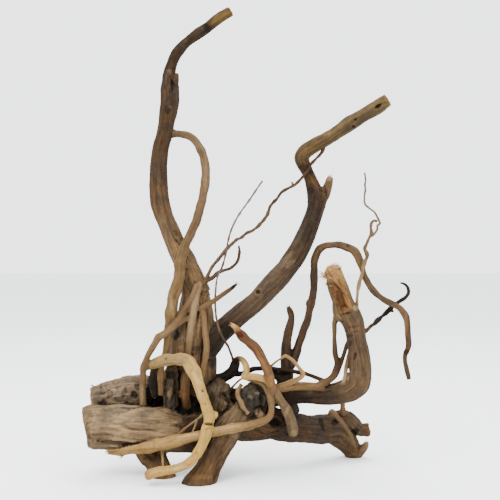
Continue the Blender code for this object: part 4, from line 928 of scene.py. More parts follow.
def grow_skin(piece, voxel, smoothings):
    """One closed skin over all the tubes of a piece."""
    pick(piece)
    skin = piece.modifiers.new("skin", "REMESH")
    skin.mode = "VOXEL"
    skin.voxel_size = voxel
    bpy.ops.object.modifier_apply(modifier=skin.name)
    soften = piece.modifiers.new("soften", "SMOOTH")
    soften.factor = SOFTENING
    soften.iterations = smoothings
    bpy.ops.object.modifier_apply(modifier=soften.name)


grow_skin(wood, WOOD_VOXEL, smoothings=3)
print("skin:", len(wood.data.vertices), "points")

# %% [markdown]
# The feet were drawn a little too long. A level saw cut on the table plane takes them off, as the maker of
# such a root does with a real saw so that it stands. The cut is closed, because the mesh has to stay a solid.

# %% Saw cut on the table
UP = (0, 0, 1)
DOWN = (0, 0, -1)
ON_CUT = 1e-7  # metres: only a point as near as this counts as lying on the cut, so that no slit stays open


def saw(piece, height, keep):
    """Cuts a piece level at a height, keeps the side that a direction points to, and closes the cut."""
    pick(piece)
    bpy.ops.object.mode_set(mode="EDIT")
    bpy.ops.mesh.select_all(action="SELECT")
    bpy.ops.mesh.bisect(
        plane_co=(0, 0, height), plane_no=keep, use_fill=True, clear_inner=True, threshold=ON_CUT
    )
    bpy.ops.object.mode_set(mode="OBJECT")


saw(wood, 0, UP)
print("wood:", len(wood.data.vertices), "points")

# %% [markdown]
# Now every point of the skin looks up its nearest limb, and its address there. Where two limbs meet, their
# tones are blended over a couple of millimetres, because a hard line between two colours would show that
# they were made apart. The same search serves the rootlets later.

# %% Nearest limb
BLEND = 0.0011  # distance over which neighbouring limbs share their tone, in metres
SEARCH = 5 * BLEND  # how far outside a limb's radius its points are looked for
CHUNK = 3000  # points measured at a time, to save memory


def points_near(places, route):
    """Which places lie near a limb, how far each is from its surface, and the nearest point of its curve."""
    reach = route["thick"].max() + SEARCH
    low = route["line"].min(0) - reach
    high = route["line"].max(0) + reach
    near = np.flatnonzero(((places > low) & (places < high)).all(axis=1))
    gap = np.empty(len(near))
    at = np.empty(len(near), int)
    for first in range(0, len(near), CHUNK):
        part = slice(first, first + CHUNK)
        gaps = np.linalg.norm(places[near[part], None] - route["line"][None], axis=2) - route["thick"]
        at[part] = gaps.argmin(axis=1)
        gap[part] = gaps.min(axis=1)
    return near, gap, at


def tone_along(name):
    """A limb's tone at each point of its curve."""
    stops = np.array([linear(tone) for tone in TONES[name]])
    share = ROUTES[name]["along"] / ROUTES[name]["along"][-1]
    stop_shares = np.linspace(0, 1, len(stops))
    return np.column_stack([np.interp(share, stop_shares, stops[:, c]) for c in range(3)])


# %% Addresses
LONE_RADIUS = 0.002  # metres: the radius noted for a point with no limb near it
LEAST_WEIGHT = 1e-9  # keeps the tone of such a point from a division by zero


def addresses(places, names):
    """For each place: its nearest limb, (out, side, along) there, the limb's radius, and the blended tone."""
    found = [points_near(places, ROUTES[name]) for name in names]
    least = np.full(len(places), np.inf)
    for near, gap, _ in found:
        least[near] = np.minimum(least[near], gap)

    limb = np.zeros(len(places), int)
    address = np.zeros((len(places), 3))
    radius = np.full(len(places), LONE_RADIUS)
    tone = np.zeros((len(places), 3))
    weight = np.full(len(places), LEAST_WEIGHT)
    for number, (name, (near, gap, at)) in enumerate(zip(names, found)):
        route = ROUTES[name]
        share = np.exp(-(gap - least[near]) / BLEND)
        tone[near] += tone_along(name)[at] * share[:, None]
        weight[near] += share
        own = gap <= least[near]
        mine = near[own]
        spot = at[own]
        offset = places[mine] - route["line"][spot]
        limb[mine] = number
        radius[mine] = route["thick"][spot]
        address[mine, 0] = (offset * route["out"][spot]).sum(axis=1)
        address[mine, 1] = (offset * route["side"][spot]).sum(axis=1)
        address[mine, 2] = route["along"][spot] + (offset * route["ahead"][spot]).sum(axis=1)
    return limb, address, radius, tone / weight[:, None]


print("tones blend over", BLEND, "m")

# %% [markdown]
# Next the relief that a step away still shows. Barked limbs have long shallow grooves and gentle swellings.
# The column over the stump is a bundle of fused roots, so its grooves are wide and deep. The two bosses are
# knobbly, and the roots that lost their bark are nearly smooth. Sculpting each limb by hand would take days
# and could not be repeated, so one rule does all of it, with different numbers.

# %% Styles of wood
BARE_LIMBS = set(ROOTS) - {"back_rod", "arch_root", "back_runner"}
SAWN_LIMBS = {
    "left_limb", "right_limb", "log", "left_nub", "right_nub", "leaf_root", "front_foot", "left_foot",
    "pale_arch",
}
# In drawing units: groove depth, width and length, swelling share and size, grit and its size, flake depth.
STYLES = {
    "barked": (0.40, 5.5, 60, 0.07, 22, 0.26, 2.6, 0.0),
    "ribbed": (0.55, 8.5, 130, 0.07, 26, 0.30, 3.2, 0.0),
    "log": (0.45, 9.0, 90, 0.06, 30, 0.35, 3.0, 0.25),
    "flaky": (0.5, 6.0, 40, 0.08, 14, 0.6, 4.0, 0.8),
    "knobbly": (0.9, 5.0, 12, 0.13, 9, 0.8, 4.0, 0.5),
    "bare": (0.15, 3.6, 70, 0.09, 9, 0.20, 2.4, 0.0),
    "rootlet": (0.05, 1.5, 18, 0.11, 5, 0.05, 1.2, 0.0),
}
STYLE_OF = {
    "column": "ribbed",
    **dict.fromkeys(["log", "heart", "front_foot", "left_foot", "back_foot"], "log"),
    **dict.fromkeys(["lower_limb", "under_root"], "log"),
    **dict.fromkeys(["log_back", "foot_knob"], "flaky"),
    **dict.fromkeys(["boss_bridge", "grey_boss", "round_knot", "grey_post"], "knobbly"),
}
DEFAULT_STYLE = {"limb": "barked", "root": "bare", "rootlet": "rootlet"}
print("styles:", list(STYLES))

# %% Grooves
LIMB_SHIFT = 13.7  # sets the noise of each limb apart from the last one's
GROOVE_EDGE = 0.2  # a groove lies where the noise is nearer to zero than this
LINE_EDGE = 0.16  # the same for the fine lines between the grooves
GROOVE_BEND = 0.35  # how far a groove strays, as a share of its width
GROOVE_BEND_LENGTH = 24  # drawing units
LINES_ACROSS = 2.3  # fine lines lie this much closer than grooves
LINES_ALONG = 2.1  # and are this much shorter


def groove_and_line(x, y, s, width, length, shift):
    """How deep a point lies in a groove, and in a fine line, each from 0 to 1."""
    bend = GROOVE_BEND * width * noise.noise((s / GROOVE_BEND_LENGTH, shift, 1))
    valley = abs(noise.noise(((x + bend) / width, (y - bend) / width + shift, s / length)))
    groove = max(0.0, 1 - valley / GROOVE_EDGE)
    across = (x / width * LINES_ACROSS, y / width * LINES_ACROSS - shift)
    line = abs(noise.noise((*across, s / length * LINES_ALONG)))
    return groove * groove, max(0.0, 1 - line / LINE_EDGE)


# %% Bark flakes
FLAKE_ACROSS = 6  # drawing units
FLAKE_ALONG = 9
JOG = 3  # how far the edges of a flake stray
JOG_SIZE = 9
JOG_STRETCH = 2  # how much further they stray along the limb
FLAKE_SINK = 0.5  # flakes lie lower than the wood round them by this share of their depth


def flake_step(x, y, s, shift):
    """How far the bark flake that a point lies on is raised or sunk, as a share of its depth."""
    jog = JOG * noise.noise((x / JOG_SIZE, y / JOG_SIZE, s / JOG_SIZE))
    along = (s + jog * JOG_STRETCH) / FLAKE_ALONG
    return noise.cell((x / FLAKE_ACROSS + jog / 3, y / FLAKE_ACROSS + shift, along)) - FLAKE_SINK


# %% Relief
HAIR_RADIUS = 0.5  # drawing units: wood as thin as this has no swellings
LINE_DEPTH = 0.35  # how deep a fine line is, as a share of a groove
LINE_SHADE = 0.5  # how dark a fine line is, as a share of a groove
GRIT_STRETCH = 2.4  # how much longer grit is along the limb than across it


def relief(names, limb, address, radius):
    """How far each point moves out, and how deep in a groove it lies, from 0 to 1."""
    height = np.zeros(len(limb))
    shade = np.zeros(len(limb))
    styles = [STYLES[STYLE_OF.get(name, DEFAULT_STYLE[KINDS[name]])] for name in names]
    units = address / UNIT
    for i in range(len(limb)):
        depth, width, length, swell, size, grit, grit_size, flake = styles[limb[i]]
        x, y, s = units[i]
        shift = limb[i] * LIMB_SHIFT
        groove, line = groove_and_line(x, y, s, width, length, shift)
        # This groove mask later darkens the wood's colour: dirt, and painted shade.
        shade[i] = min(1.0, groove + LINE_SHADE * line)
        swelling = swell * max(radius[i] / UNIT - HAIR_RADIUS, 0) * 2
        height[i] = swelling * noise.noise((x / size + shift, y / size, s / size))
        height[i] -= depth * (groove + LINE_DEPTH * line)
        height[i] += grit * noise.noise((x / grit_size, y / grit_size + shift, s / grit_size / GRIT_STRETCH))
        if flake:
            height[i] += flake * flake_step(x, y, s, shift)
    return height * UNIT, shade


# %% [markdown]
# The marks are laid on by the drawing and not by the address, because a mark was placed where it is seen.
# Only the side that faces the drawing's eye takes them. A mark's edge is ragged, as rot and torn bark are.

# %% Lay the marks
MARK_END = 1.25  # a mark has faded out at this share of its own size
MARK_FADE = 0.55  # and it starts to fade this much further in
RAGGED_SIZE = 2.6  # size of the notches in a mark's edge, in drawing units
RAGGED_DEPTH = 0.24  # their depth, as a share of the mark's size
FACING_GAIN = 2.5  # how fast a mark comes in as the surface turns to the front
FACING_EDGE = 0.25  # how much of it is left where the surface is seen edge on


def mark_places(places, normals, names, limb, tone, height):
    """Tints and sinks each limb's marks in place. Gives back each point's rot and painted shade."""
    across, up, _ = drawn(places)
    facing = np.clip(-normals[:, 1] * FACING_GAIN + FACING_EDGE, 0, 1)
    rot_and_shade = np.zeros(len(limb))
    for name, spots in MARKS.items():
        if name not in names:
            continue
        mine = np.flatnonzero(limb == names.index(name))
        notches = zip(across[mine] / RAGGED_SIZE, up[mine] / RAGGED_SIZE)
        ragged = RAGGED_DEPTH * np.array([noise.noise((a, u, 3)) for a, u in notches])
        for mark_across, mark_up, wide, tall, lean, colour, strength, sink in spots:
            c = math.cos(math.radians(lean))
            s = math.sin(math.radians(lean))
            right = across[mine] - mark_across
            above = up[mine] - mark_up
            far = np.hypot((right * c - above * s) / wide, (right * s + above * c) / tall) + ragged
            share = np.clip((MARK_END - far) / MARK_FADE, 0, 1)
            share = share * share * (3 - 2 * share) * facing[mine]
            tint = (share * strength)[:, None]
            tone[mine] = tone[mine] * (1 - tint) + linear(colour) * tint
            height[mine] -= sink * UNIT * share
            # The near-black marks are kept apart, to be darkened again in the material: rot, and painted
            # shade.
            if colour == ROT_AND_SHADE:
                rot_and_shade[mine] = np.maximum(rot_and_shade[mine], share * strength)
    return rot_and_shade


# %% [markdown]
# Hollows are darkened, partly as dirt that gathers there and partly as painted shade, and handling rubs the
# ridges pale. The renderer could find both by tracing rays, but the result would not leave it with the mesh.
# So we measure the mesh itself: a point that lies below the mean of the points round it is in a hollow, and
# one that lies above it is on a ridge.

# %% Hollows and ridges
def points_of(piece):
    places = np.empty(len(piece.data.vertices) * 3)
    piece.data.vertices.foreach_get("co", places)
    return places.reshape(-1, 3)


def normals_of(piece):
    normals = np.empty(len(piece.data.vertices) * 3)
    piece.data.vertex_normals.foreach_get("vector", normals)
    return normals.reshape(-1, 3)


def edges_of(piece):
    edges = np.empty(len(piece.data.edges) * 2, np.int32)
    piece.data.edges.foreach_get("vertices", edges)
    return edges.reshape(-1, 2)


def cavities(places, normals, edges, rounds):
    """How far each point lies below its surroundings, in metres: hollows are positive, ridges negative."""
    count = len(places)
    neighbours = np.bincount(edges.ravel(), minlength=count)[:, None].clip(1)
    soft = places
    for _ in range(rounds):
        total = np.zeros_like(soft)
        for axis in range(3):
            total[:, axis] = np.bincount(edges[:, 0], soft[edges[:, 1], axis], count)
            total[:, axis] += np.bincount(edges[:, 1], soft[edges[:, 0], axis], count)
        soft = total / neighbours
    return ((soft - places) * normals).sum(axis=1)


print("wood measured over", len(edges_of(wood)), "edges")

# %% [markdown]
# Carving puts it together: relief and marks move the points, and everything that a material needs later is
# kept on the mesh as an attribute. The materials could work it out again from noise, but then a groove in
# the colour would not lie in the groove of the shape.

# %% Carve
END_FACE = 0.0006  # metres: a point this near to a limb's end lies on its sawn face
ON_TABLE = 0.0004  # metres: a point this low is part of a sawn foot
GRAIN_SHIFT = 0.11  # metres, sets the grain of each limb apart from the last one's


def sawn_ends(names, limb, past_end, on_table):
    """1 on the end faces that a saw left, and on the feet, which are sawn along the table."""
    clean = np.array([name in SAWN_LIMBS for name in names])[limb]
    return (clean & (past_end < END_FACE) | on_table).astype(float)


def keep(piece, name, kind, field, values):
    """Keeps a value for each point of a mesh, for the materials to read."""
    layer = piece.data.attributes.new(name, kind, "POINT")
    layer.data.foreach_set(field, np.asarray(values).astype(np.float32).ravel())


def carve(piece, names, hollow_scale, rounds):
    """Gives a skin its relief and marks, and keeps what the materials read."""
    places = points_of(piece)
    normals = normals_of(piece)
    on_table = places[:, 2] < ON_TABLE
    limb, address, radius, tone = addresses(places, names)
    height, groove = relief(names, limb, address, radius)
    rot_and_shade = mark_places(places, normals, names, limb, tone, height)
    height[on_table] = 0
    moved = places + normals * height[:, None]
    moved[:, 2] = np.maximum(moved[:, 2], 0)
    piece.data.vertices.foreach_set("co", moved.ravel())
    piece.data.update()

    hollow = cavities(moved, normals_of(piece), edges_of(piece), rounds) / hollow_scale
    ends = np.array([ROUTES[name]["along"][-1] for name in names])[limb]
    past_end = np.minimum(address[:, 2], ends - address[:, 2])
    masks = {
        "hollow": np.clip(hollow, 0, 1),
        "worn": np.clip(-hollow, 0, 1),
        "groove": groove,
        # the near-black marks: rot, and painted shade
        "rot_and_shade": rot_and_shade,
        "sawn": sawn_ends(names, limb, past_end, on_table),
        "ring": np.hypot(address[:, 0], address[:, 1]),
        "bare": np.array([name in BARE_LIMBS for name in names])[limb],
    }
    for name, values in masks.items():
        keep(piece, name, "FLOAT", "value", values)
    still = np.zeros(len(limb))
    grain = address + np.column_stack([still, limb * GRAIN_SHIFT, still])
    keep(piece, "grain", "FLOAT_VECTOR", "vector", grain)
    keep(piece, "tone", "FLOAT_COLOR", "color", np.column_stack([tone, np.ones(len(tone))]))
    print("carved", piece.name, "size", [round(v, 3) for v in piece.dimensions])


carve(wood, HEAVY, hollow_scale=0.0009, rounds=8)

# %% [markdown]
# The real root is one piece, but a mesh this dense is too heavy for one. So it is sawn level into four slabs.
# All four come from the same carved skin, so they meet point for point, and each cut is closed inside the
# wood. Thinning the mesh would be the other way, but it would take the grooves away.

# %% Four slabs
SLABS = ["feet", "stump", "crown", "limb_tops"]
CUTS = [None, 0.056, 0.107, 0.21, None]  # metres above the table: each slab lies between two of these


def copy_of(piece, title):
    """A copy of a piece, with a mesh of its own."""
    pick(piece)
    bpy.ops.object.duplicate()
    twin = bpy.context.active_object
    twin.name = title
    return twin


body = []
for title, low, high in zip(SLABS, CUTS, CUTS[1:]):
    slab = copy_of(wood, title)
    if low is not None:
        saw(slab, low, UP)
    if high is not None:
        saw(slab, high, DOWN)
    body.append(slab)
    print(slab.name, len(slab.data.polygons), "faces")
pick(wood)
bpy.ops.object.delete()

# %% [markdown]
# Rootlets are only a few of the body's voxels thick, and would come out lumpy in its skin. So they get a
# finer skin of their own, made in the same way: curves, one skin, then a little relief.

# %% Rootlets
ROOTLET_VOXEL = 0.00042  # metres

rootlets = tubes("rootlets", list(ROOTLETS), roundness=2)
grow_skin(rootlets, ROOTLET_VOXEL, smoothings=2)
carve(rootlets, list(ROOTLETS), hollow_scale=0.0004, rounds=4)
print("rootlets:", len(rootlets.data.polygons), "faces")

# %% [markdown]
# Where wood was torn and not sawn, its fibres stand out. Each fibre is a thin curve that starts in the wood,
# follows the limb, leans a little outwards and tapers to a hair. Hair particles would be quicker, but they
# are lost when the model leaves Blender.

# %% Torn places
# In drawing units: limb, share along it, which way the fibres point, how many, shortest, longest, thickness,
# spread, tone, and the side they keep to as (x, z), or None for all round.
TEARS = [
    ("arm", 1.0, 1, 26, 1.0, 3.4, 0.9, 0.5, PEEL, None),
    ("arm", 0.965, 1, 60, 2.4, 6.0, 0.55, 1.5, (224, 180, 126), (-1, 0.1)),
    ("arm", 0.93, 1, 26, 1.5, 4.0, 0.5, 1.2, (214, 166, 112), (-1, 0)),
    ("arm", 0.985, 1, 16, 2.0, 5.5, 0.5, 1.1, PEEL, (1, 0.2)),
    ("side_stub", 1.0, 1, 8, 1.0, 3.0, 0.35, 0.5, BROWN, None),
    ("spike", 1.0, 1, 7, 1.0, 2.4, 0.5, 0.5, DARK, None),
    ("right_nub", 1.0, 1, 7, 1.0, 3.0, 0.5, 0.4, BROWN, None),
    ("snag_root", 0.0, -1, 7, 1.0, 2.4, 0.5, 0.4, CREAM, None),
    ("floor_strip", 0.0, -1, 12, 1.5, 5.0, 0.9, 0.25, SAND, None),
    ("floor_strip", 0.06, -1, 12, 1.5, 4.0, 0.7, 0.9, SAND, (0, -1)),
    ("foot_claw", 1.0, 1, 5, 0.8, 2.2, 0.5, 0.4, TAN, None),
    ("stub_lip", 0.55, -1, 6, 1.0, 2.5, 0.6, 0.6, TAN, None),
    ("log", 0.01, -1, 18, 0.8, 2.2, 0.8, 0.8, TAN, (0, 1)),
    ("log_back", 0.02, -1, 14, 0.8, 2.4, 0.8, 0.8, TAN, (0, 1)),
]
print("torn places:", len(TEARS), "fibres:", sum(tear[3] for tear in TEARS))

# %% One fibre
FIBRE_POINTS = 5
FIBRE_TAPER = 0.7  # under 1, so that a fibre stays thick for most of its length
FIBRE_TIP = 0.00006  # radius of its tip, in metres
SIDE_LEAST = 0.35  # how squarely a fibre has to face the side it keeps to, from 0 to 1


def add_fibre(drawing, start, direction, bend, length, thickness):
    """One tapering fibre, which bends more and more towards its tip."""
    spline = drawing.data.splines.new("POLY")
    spline.points.add(FIBRE_POINTS - 1)
    for k, point in enumerate(spline.points):
        share = k / (FIBRE_POINTS - 1)
        point.co = (*(start + direction * length * share + bend * length * share * share), 1)
        point.radius = thickness * (1 - share) ** FIBRE_TAPER + FIBRE_TIP


def way_out(draw, route, at, side):
    """A random direction out of a limb, on the side that the fibres keep to."""
    away = np.zeros(3)
    while not away.any() or (side and away[0] * side[0] + away[2] * side[1] < SIDE_LEAST):
        turn = draw.uniform(0, math.tau)
        away = route["out"][at] * math.cos(turn) + route["side"][at] * math.sin(turn)
    return away


# %% Torn fibres
FIBRE_SEED = 5
FIBRE_ROOT = 0.0022  # how deep in the wood a fibre starts, in metres
AT_RIM = (0.85, 0.97)  # how far out it starts, as a share of the limb's radius, where it keeps to a side
ANYWHERE = (0.15, 0.9)  # and where fibres stand all over a broken end
FIBRE_BEND = (-0.3, 0.5)
FIBRE_THICKNESS = (0.45, 1)
FIBRE_TONE = (0.7, 1.15)


def torn_fibres(title):
    """All fibres of all torn places, as tubes in one mesh that keeps each fibre's tone."""
    draw = random.Random(FIBRE_SEED)
    drawing = blank_drawing(title, roundness=1)
    tones = []
    for name, share, sense, count, shortest, longest, thickness, spread, tone, side in TEARS:
        route = ROUTES[name]
        at = min(int(share * len(route["line"])), len(route["line"]) - 1)
        ahead = route["ahead"][at] * sense
        for _ in range(count):
            away = way_out(draw, route, at, side)
            reach = route["thick"][at] * draw.uniform(*(AT_RIM if side else ANYWHERE))
            length = draw.uniform(shortest, longest) * UNIT
            start = Vector(route["line"][at] + away * reach - ahead * FIBRE_ROOT)
            direction = Vector(ahead + away * draw.uniform(0, spread)).normalized()
            bend = Vector(away * draw.uniform(*FIBRE_BEND) * spread)
            radius = thickness * draw.uniform(*FIBRE_THICKNESS) * UNIT
            add_fibre(drawing, start, direction, bend, length + FIBRE_ROOT, radius)
            tones.append(linear(tone) * draw.uniform(*FIBRE_TONE))
    fibres = as_mesh(drawing)
    points_each = len(fibres.data.vertices) // len(tones)
    tints = np.column_stack([tones, np.ones(len(tones))])
    keep(fibres, "tone", "FLOAT_COLOR", "color", np.repeat(tints, points_each, axis=0))
    return fibres


fibres = torn_fibres("torn_fibres")
print("fibres:", len(fibres.data.polygons), "faces")

# %% [markdown]
# A curve's end caps are not joined to its tube, so the fibres are open there. Merging points that lie in the
# same place closes them. The distance is tiny, because a fibre's tip is only a tenth of a millimetre across.

# %% Close the fibres
SAME_PLACE = 1e-7  # metres

pick(fibres)
bpy.ops.object.mode_set(mode="EDIT")
bpy.ops.mesh.select_all(action="SELECT")
bpy.ops.mesh.remove_doubles(threshold=SAME_PLACE)
bpy.ops.object.mode_set(mode="OBJECT")
print("fibres:", len(fibres.data.vertices), "points")

# %% [markdown]
# The finish. Three effects are shared by all the wood, so each is a node group: streaks that follow the
# grain, weathered patches and pores, and the growth rings of a sawn end. Painted pictures could show all
# three, but they blur close up and need the mesh unwrapped. Noise is sharp at any distance.

# %% Node helpers
def add_node(tree, kind, links=(), **settings):
    """Adds a node, sets what is given, and links inputs: (input name or number, output socket)."""
    made = tree.nodes.new(kind)
    for name, value in settings.items():
        setattr(made, name, value)
    for name, source in links:
        tree.links.new(source, made.inputs[name])
    return made


def value_in(made, **values):
    """Sets inputs of a node by name, with _ for a space."""
    for name, value in values.items():
        made.inputs[name.replace("_", " ")].default_value = value
    return made


def put_in(tree, sockets, values):
    """Sets each socket to its value where that is a number or a colour, and links it where it is a socket."""
    for socket, value in zip(sockets, values):
        if isinstance(value, (int, float, tuple)):
            socket.default_value = value
        else:
            tree.links.new(value, socket)


def calculate(tree, operation, first, second):
    made = add_node(tree, "ShaderNodeMath", operation=operation)
    put_in(tree, made.inputs, (first, second))
    return made.outputs[0]


def multiply(tree, first, second):
    return calculate(tree, "MULTIPLY", first, second)


def blend_colours(tree, mode, share, below, above):
    """A Mix node for colours. Its number 0 input is the share, and 6 and 7 are the two colours."""
    made = add_node(tree, "ShaderNodeMix", data_type="RGBA", blend_type=mode)
    put_in(tree, (made.inputs[0], made.inputs[6], made.inputs[7]), (share, below, above))
    return made.outputs[2]


# %% Noise and groups
def new_group(name, inputs, outputs):
    """An empty node group, what it is given, and what it has to give back."""
    group = bpy.data.node_groups.new(name, "ShaderNodeTree")
    for title, kind, value in inputs:
        socket = group.interface.new_socket(title, in_out="INPUT", socket_type="NodeSocket" + kind)
        if value is not None:
            socket.default_value = value
    for title in outputs:
        group.interface.new_socket(title, in_out="OUTPUT", socket_type="NodeSocketFloat")
    given = group.nodes.new("NodeGroupInput").outputs
    result = group.nodes.new("NodeGroupOutput").inputs
    return group, given, result


def noise_at(tree, vector, **values):
    return value_in(add_node(tree, "ShaderNodeTexNoise", [("Vector", vector)]), **values).outputs["Fac"]


def stretched_noise(tree, vector, across, along, detail):
    """Noise laid in a limb's address: across and along are how many repeats there are in a metre."""
    scaled = add_node(tree, "ShaderNodeVectorMath", [(0, vector)], operation="MULTIPLY")
    scaled.inputs[1].default_value = (across, across, along)
    return noise_at(tree, scaled.outputs[0], Scale=1, Detail=detail, Roughness=0.6)


def band(tree, value, low, high):
    """0 below low, 1 above high, smooth between."""
    made = add_node(tree, "ShaderNodeMapRange", [("Value", value)], interpolation_type="SMOOTHSTEP")
    return value_in(made, From_Min=low, From_Max=high).outputs["Result"]


# %% Grain streaks
def grain_group():
    """Fine and broad streaks along the grain, and a height for the bump."""
    inputs = [("Address", "Vector", None)]
    tree, given, result = new_group("grain_streaks", inputs, ["Fine", "Broad", "Height"])
    fine = stretched_noise(tree, given["Address"], across=1150, along=62, detail=3)
    broad = stretched_noise(tree, given["Address"], across=330, along=17, detail=4)
    hair = stretched_noise(tree, given["Address"], across=2600, along=110, detail=2)
    tree.links.new(band(tree, fine, 0.36, 0.66), result["Fine"])
    tree.links.new(band(tree, broad, 0.34, 0.68), result["Broad"])
    height = calculate(tree, "ADD", multiply(tree, fine, 0.8), multiply(tree, broad, 1.4))
    tree.links.new(calculate(tree, "ADD", height, multiply(tree, hair, 0.35)), result["Height"])
    return tree


GRAIN = grain_group()
print(GRAIN.name, len(GRAIN.nodes), "nodes")

# %% Weathering
def weather_group():
    """Patches where the surface greyed, a finer mottling, and small pores where the mottling is strong."""
    inputs = [("Place", "Vector", None), ("Patch size", "Float", 45.0)]
    tree, given, result = new_group("weathering", inputs, ["Patches", "Mottle", "Pores"])
    links = [("Vector", given["Place"]), ("Scale", given["Patch size"])]
    patches = value_in(add_node(tree, "ShaderNodeTexNoise", links), Detail=3, Roughness=0.55)
    mottle = noise_at(tree, given["Place"], Scale=210, Detail=4, Roughness=0.62)
    pores = value_in(add_node(tree, "ShaderNodeTexVoronoi", [("Vector", given["Place"])]), Scale=420)
    tree.links.new(band(tree, patches.outputs["Fac"], 0.42, 0.66), result["Patches"])
    tree.links.new(band(tree, mottle, 0.32, 0.70), result["Mottle"])
    near = calculate(tree, "SUBTRACT", 1.0, band(tree, pores.outputs["Distance"], 0.06, 0.2))
    tree.links.new(multiply(tree, near, band(tree, mottle, 0.52, 0.6)), result["Pores"])
    return tree


WEATHER = weather_group()
print(WEATHER.name, len(WEATHER.nodes), "nodes")

# %% Growth rings
def ring_group():
    """Growth rings on a sawn end, which wander a little."""
    inputs = [("Distance", "Float", 0.0), ("Place", "Vector", None)]
    tree, given, result = new_group("growth_rings", inputs, ["Late wood"])
    bent = noise_at(tree, given["Place"], Scale=160, Detail=2)
    far = calculate(tree, "ADD", multiply(tree, given["Distance"], 5200), multiply(tree, bent, 7.0))
    wave = calculate(tree, "SINE", far, 0.0)
    tree.links.new(band(tree, wave, -0.2, 1.0), result["Late wood"])
    return tree


RINGS = ring_group()
print(RINGS.name, len(RINGS.nodes), "nodes")

# %% [markdown]
# The wood's own material takes its base tone from the limb, then lays the streaks, patches, pores, dirt and
# painted shade, and wear over it. Barked wood and bare wood differ only in how strong each effect is, so one
# function makes both. The colours below that are near 1 multiply what lies under them: over 1 lightens, and
# under 1 darkens.

# %% Shades of wood
# The near-black below is dirt in the pores, and dirt and painted shade in the hollows.
DIRT_AND_SHADE = (*linear((26, 20, 16)), 1)
GREYED = (*linear((128, 122, 114)), 1)
LIGHT_STREAK = (1.17, 1.16, 1.14, 1)
DARK_STREAK = (0.74, 0.73, 0.73, 1)
FINE_STREAK = (0.66, 0.64, 0.62, 1)
MOTTLE = (0.72, 0.70, 0.68, 1)
# The groove colour below is dirt, and painted shade.
GROOVE_DIRT_AND_SHADE = (0.42, 0.39, 0.36, 1)
ON_RIDGE = (1.6, 1.52, 1.42, 1)
# The colour below darkens rot and painted shade further.
DEEPER_ROT_AND_SHADE = (0.6, 0.55, 0.5, 1)
FRESH_CUT = (1.25, 1.2, 1.1, 1)
LATE_WOOD = (0.62, 0.55, 0.48, 1)
FIBRE_MOTTLE = (0.7, 0.64, 0.58, 1)


def shaded(tree, share, colour, factor):
    """A colour multiplied by a factor, by some share."""
    return blend_colours(tree, "MULTIPLY", share, colour, factor)


def use_group(tree, group, links):
    made = tree.nodes.new("ShaderNodeGroup")
    made.node_tree = group
    for name, source in links:
        tree.links.new(source, made.inputs[name])
    return made


def attribute(tree, name, output="Fac"):
    """What carving kept on the mesh under this name."""
    return add_node(tree, "ShaderNodeAttribute", attribute_name=name).outputs[output]


print("dirt_and_shade", [round(c, 4) for c in DIRT_AND_SHADE], "greyed wood", [round(c, 4) for c in GREYED])

# %% Layers of colour
MOTTLE_SHARE = 0.45
GREYED_SHARE = 0.85
# Grooves and hollows are darkened as dirt and painted shade.
GROOVE_DARKENING = 0.5  # how much less a groove is darkened than a hollow is


def weathered_tone(tree, grain, weather, streak, patch, pore):
    """The limb's tone, streaked, greyed in patches, mottled and pored."""
    tone = attribute(tree, "tone", "Color")
    lighter = shaded(tree, 1.0, tone, LIGHT_STREAK)
    darker = shaded(tree, 1.0, tone, DARK_STREAK)
    broad = blend_colours(tree, "MIX", grain.outputs["Broad"], darker, lighter)
    colour = blend_colours(tree, "MIX", streak, tone, broad)
    fine = multiply(tree, calculate(tree, "SUBTRACT", 1.0, grain.outputs["Fine"]), streak)
    colour = shaded(tree, fine, colour, FINE_STREAK)
    greyed = shaded(tree, GREYED_SHARE, GREYED, colour)
    colour = blend_colours(tree, "MIX", multiply(tree, weather.outputs["Patches"], patch), colour, greyed)
    colour = shaded(tree, multiply(tree, weather.outputs["Mottle"], MOTTLE_SHARE), colour, MOTTLE)
    return blend_colours(tree, "MIX", multiply(tree, weather.outputs["Pores"], pore), colour, DIRT_AND_SHADE)


def dirt_shade_and_wear(tree, colour, dirt_and_shade, wear):
    """Dirt and painted shade in grooves and hollows, wear on ridges, rot and painted shade darker still."""
    # Grooves darken too: dirt, and painted shade.
    groove = multiply(tree, attribute(tree, "groove"), dirt_and_shade * GROOVE_DARKENING)
    colour = blend_colours(tree, "MIX", groove, colour, shaded(tree, 1.0, colour, GROOVE_DIRT_AND_SHADE))
    # Hollows darken towards near black: dirt, and painted shade.
    hollow = multiply(tree, attribute(tree, "hollow"), dirt_and_shade)
    colour = blend_colours(tree, "MIX", hollow, colour, DIRT_AND_SHADE)
    worn = multiply(tree, attribute(tree, "worn"), wear)
    colour = blend_colours(tree, "MIX", worn, colour, shaded(tree, 1.0, colour, ON_RIDGE))
    # Rot and the painted shade of the deep hollows darken further.
    return blend_colours(tree, "MIX", attribute(tree, "rot_and_shade"), colour, shaded(tree, 1.0, colour, DEEPER_ROT_AND_SHADE))


def with_sawn_ends(tree, colour, place):
    """Fresh wood with growth rings where the saw went, and the given colour elsewhere."""
    rings = use_group(tree, RINGS, [("Distance", attribute(tree, "ring")), ("Place", place)])
    cut = shaded(tree, 1.0, colour, FRESH_CUT)
    cut = shaded(tree, rings.outputs["Late wood"], cut, LATE_WOOD)
    return blend_colours(tree, "MIX", attribute(tree, "sawn"), colour, cut)


# %% Wood materials
WOOD_GLOSS = 0.08  # dry wood hardly shines
BUMP_DEPTH = 0.0007  # metres
PORE_DEPTH = 0.8


def new_material(name):
    """A material, its node tree, its shader, and the weathering for it."""
    made = bpy.data.materials.new(name)
    made.use_nodes = True
    tree = made.node_tree
    place = add_node(tree, "ShaderNodeTexCoord").outputs["Object"]
    return made, tree, tree.nodes["Principled BSDF"], place, use_group(tree, WEATHER, [("Place", place)])


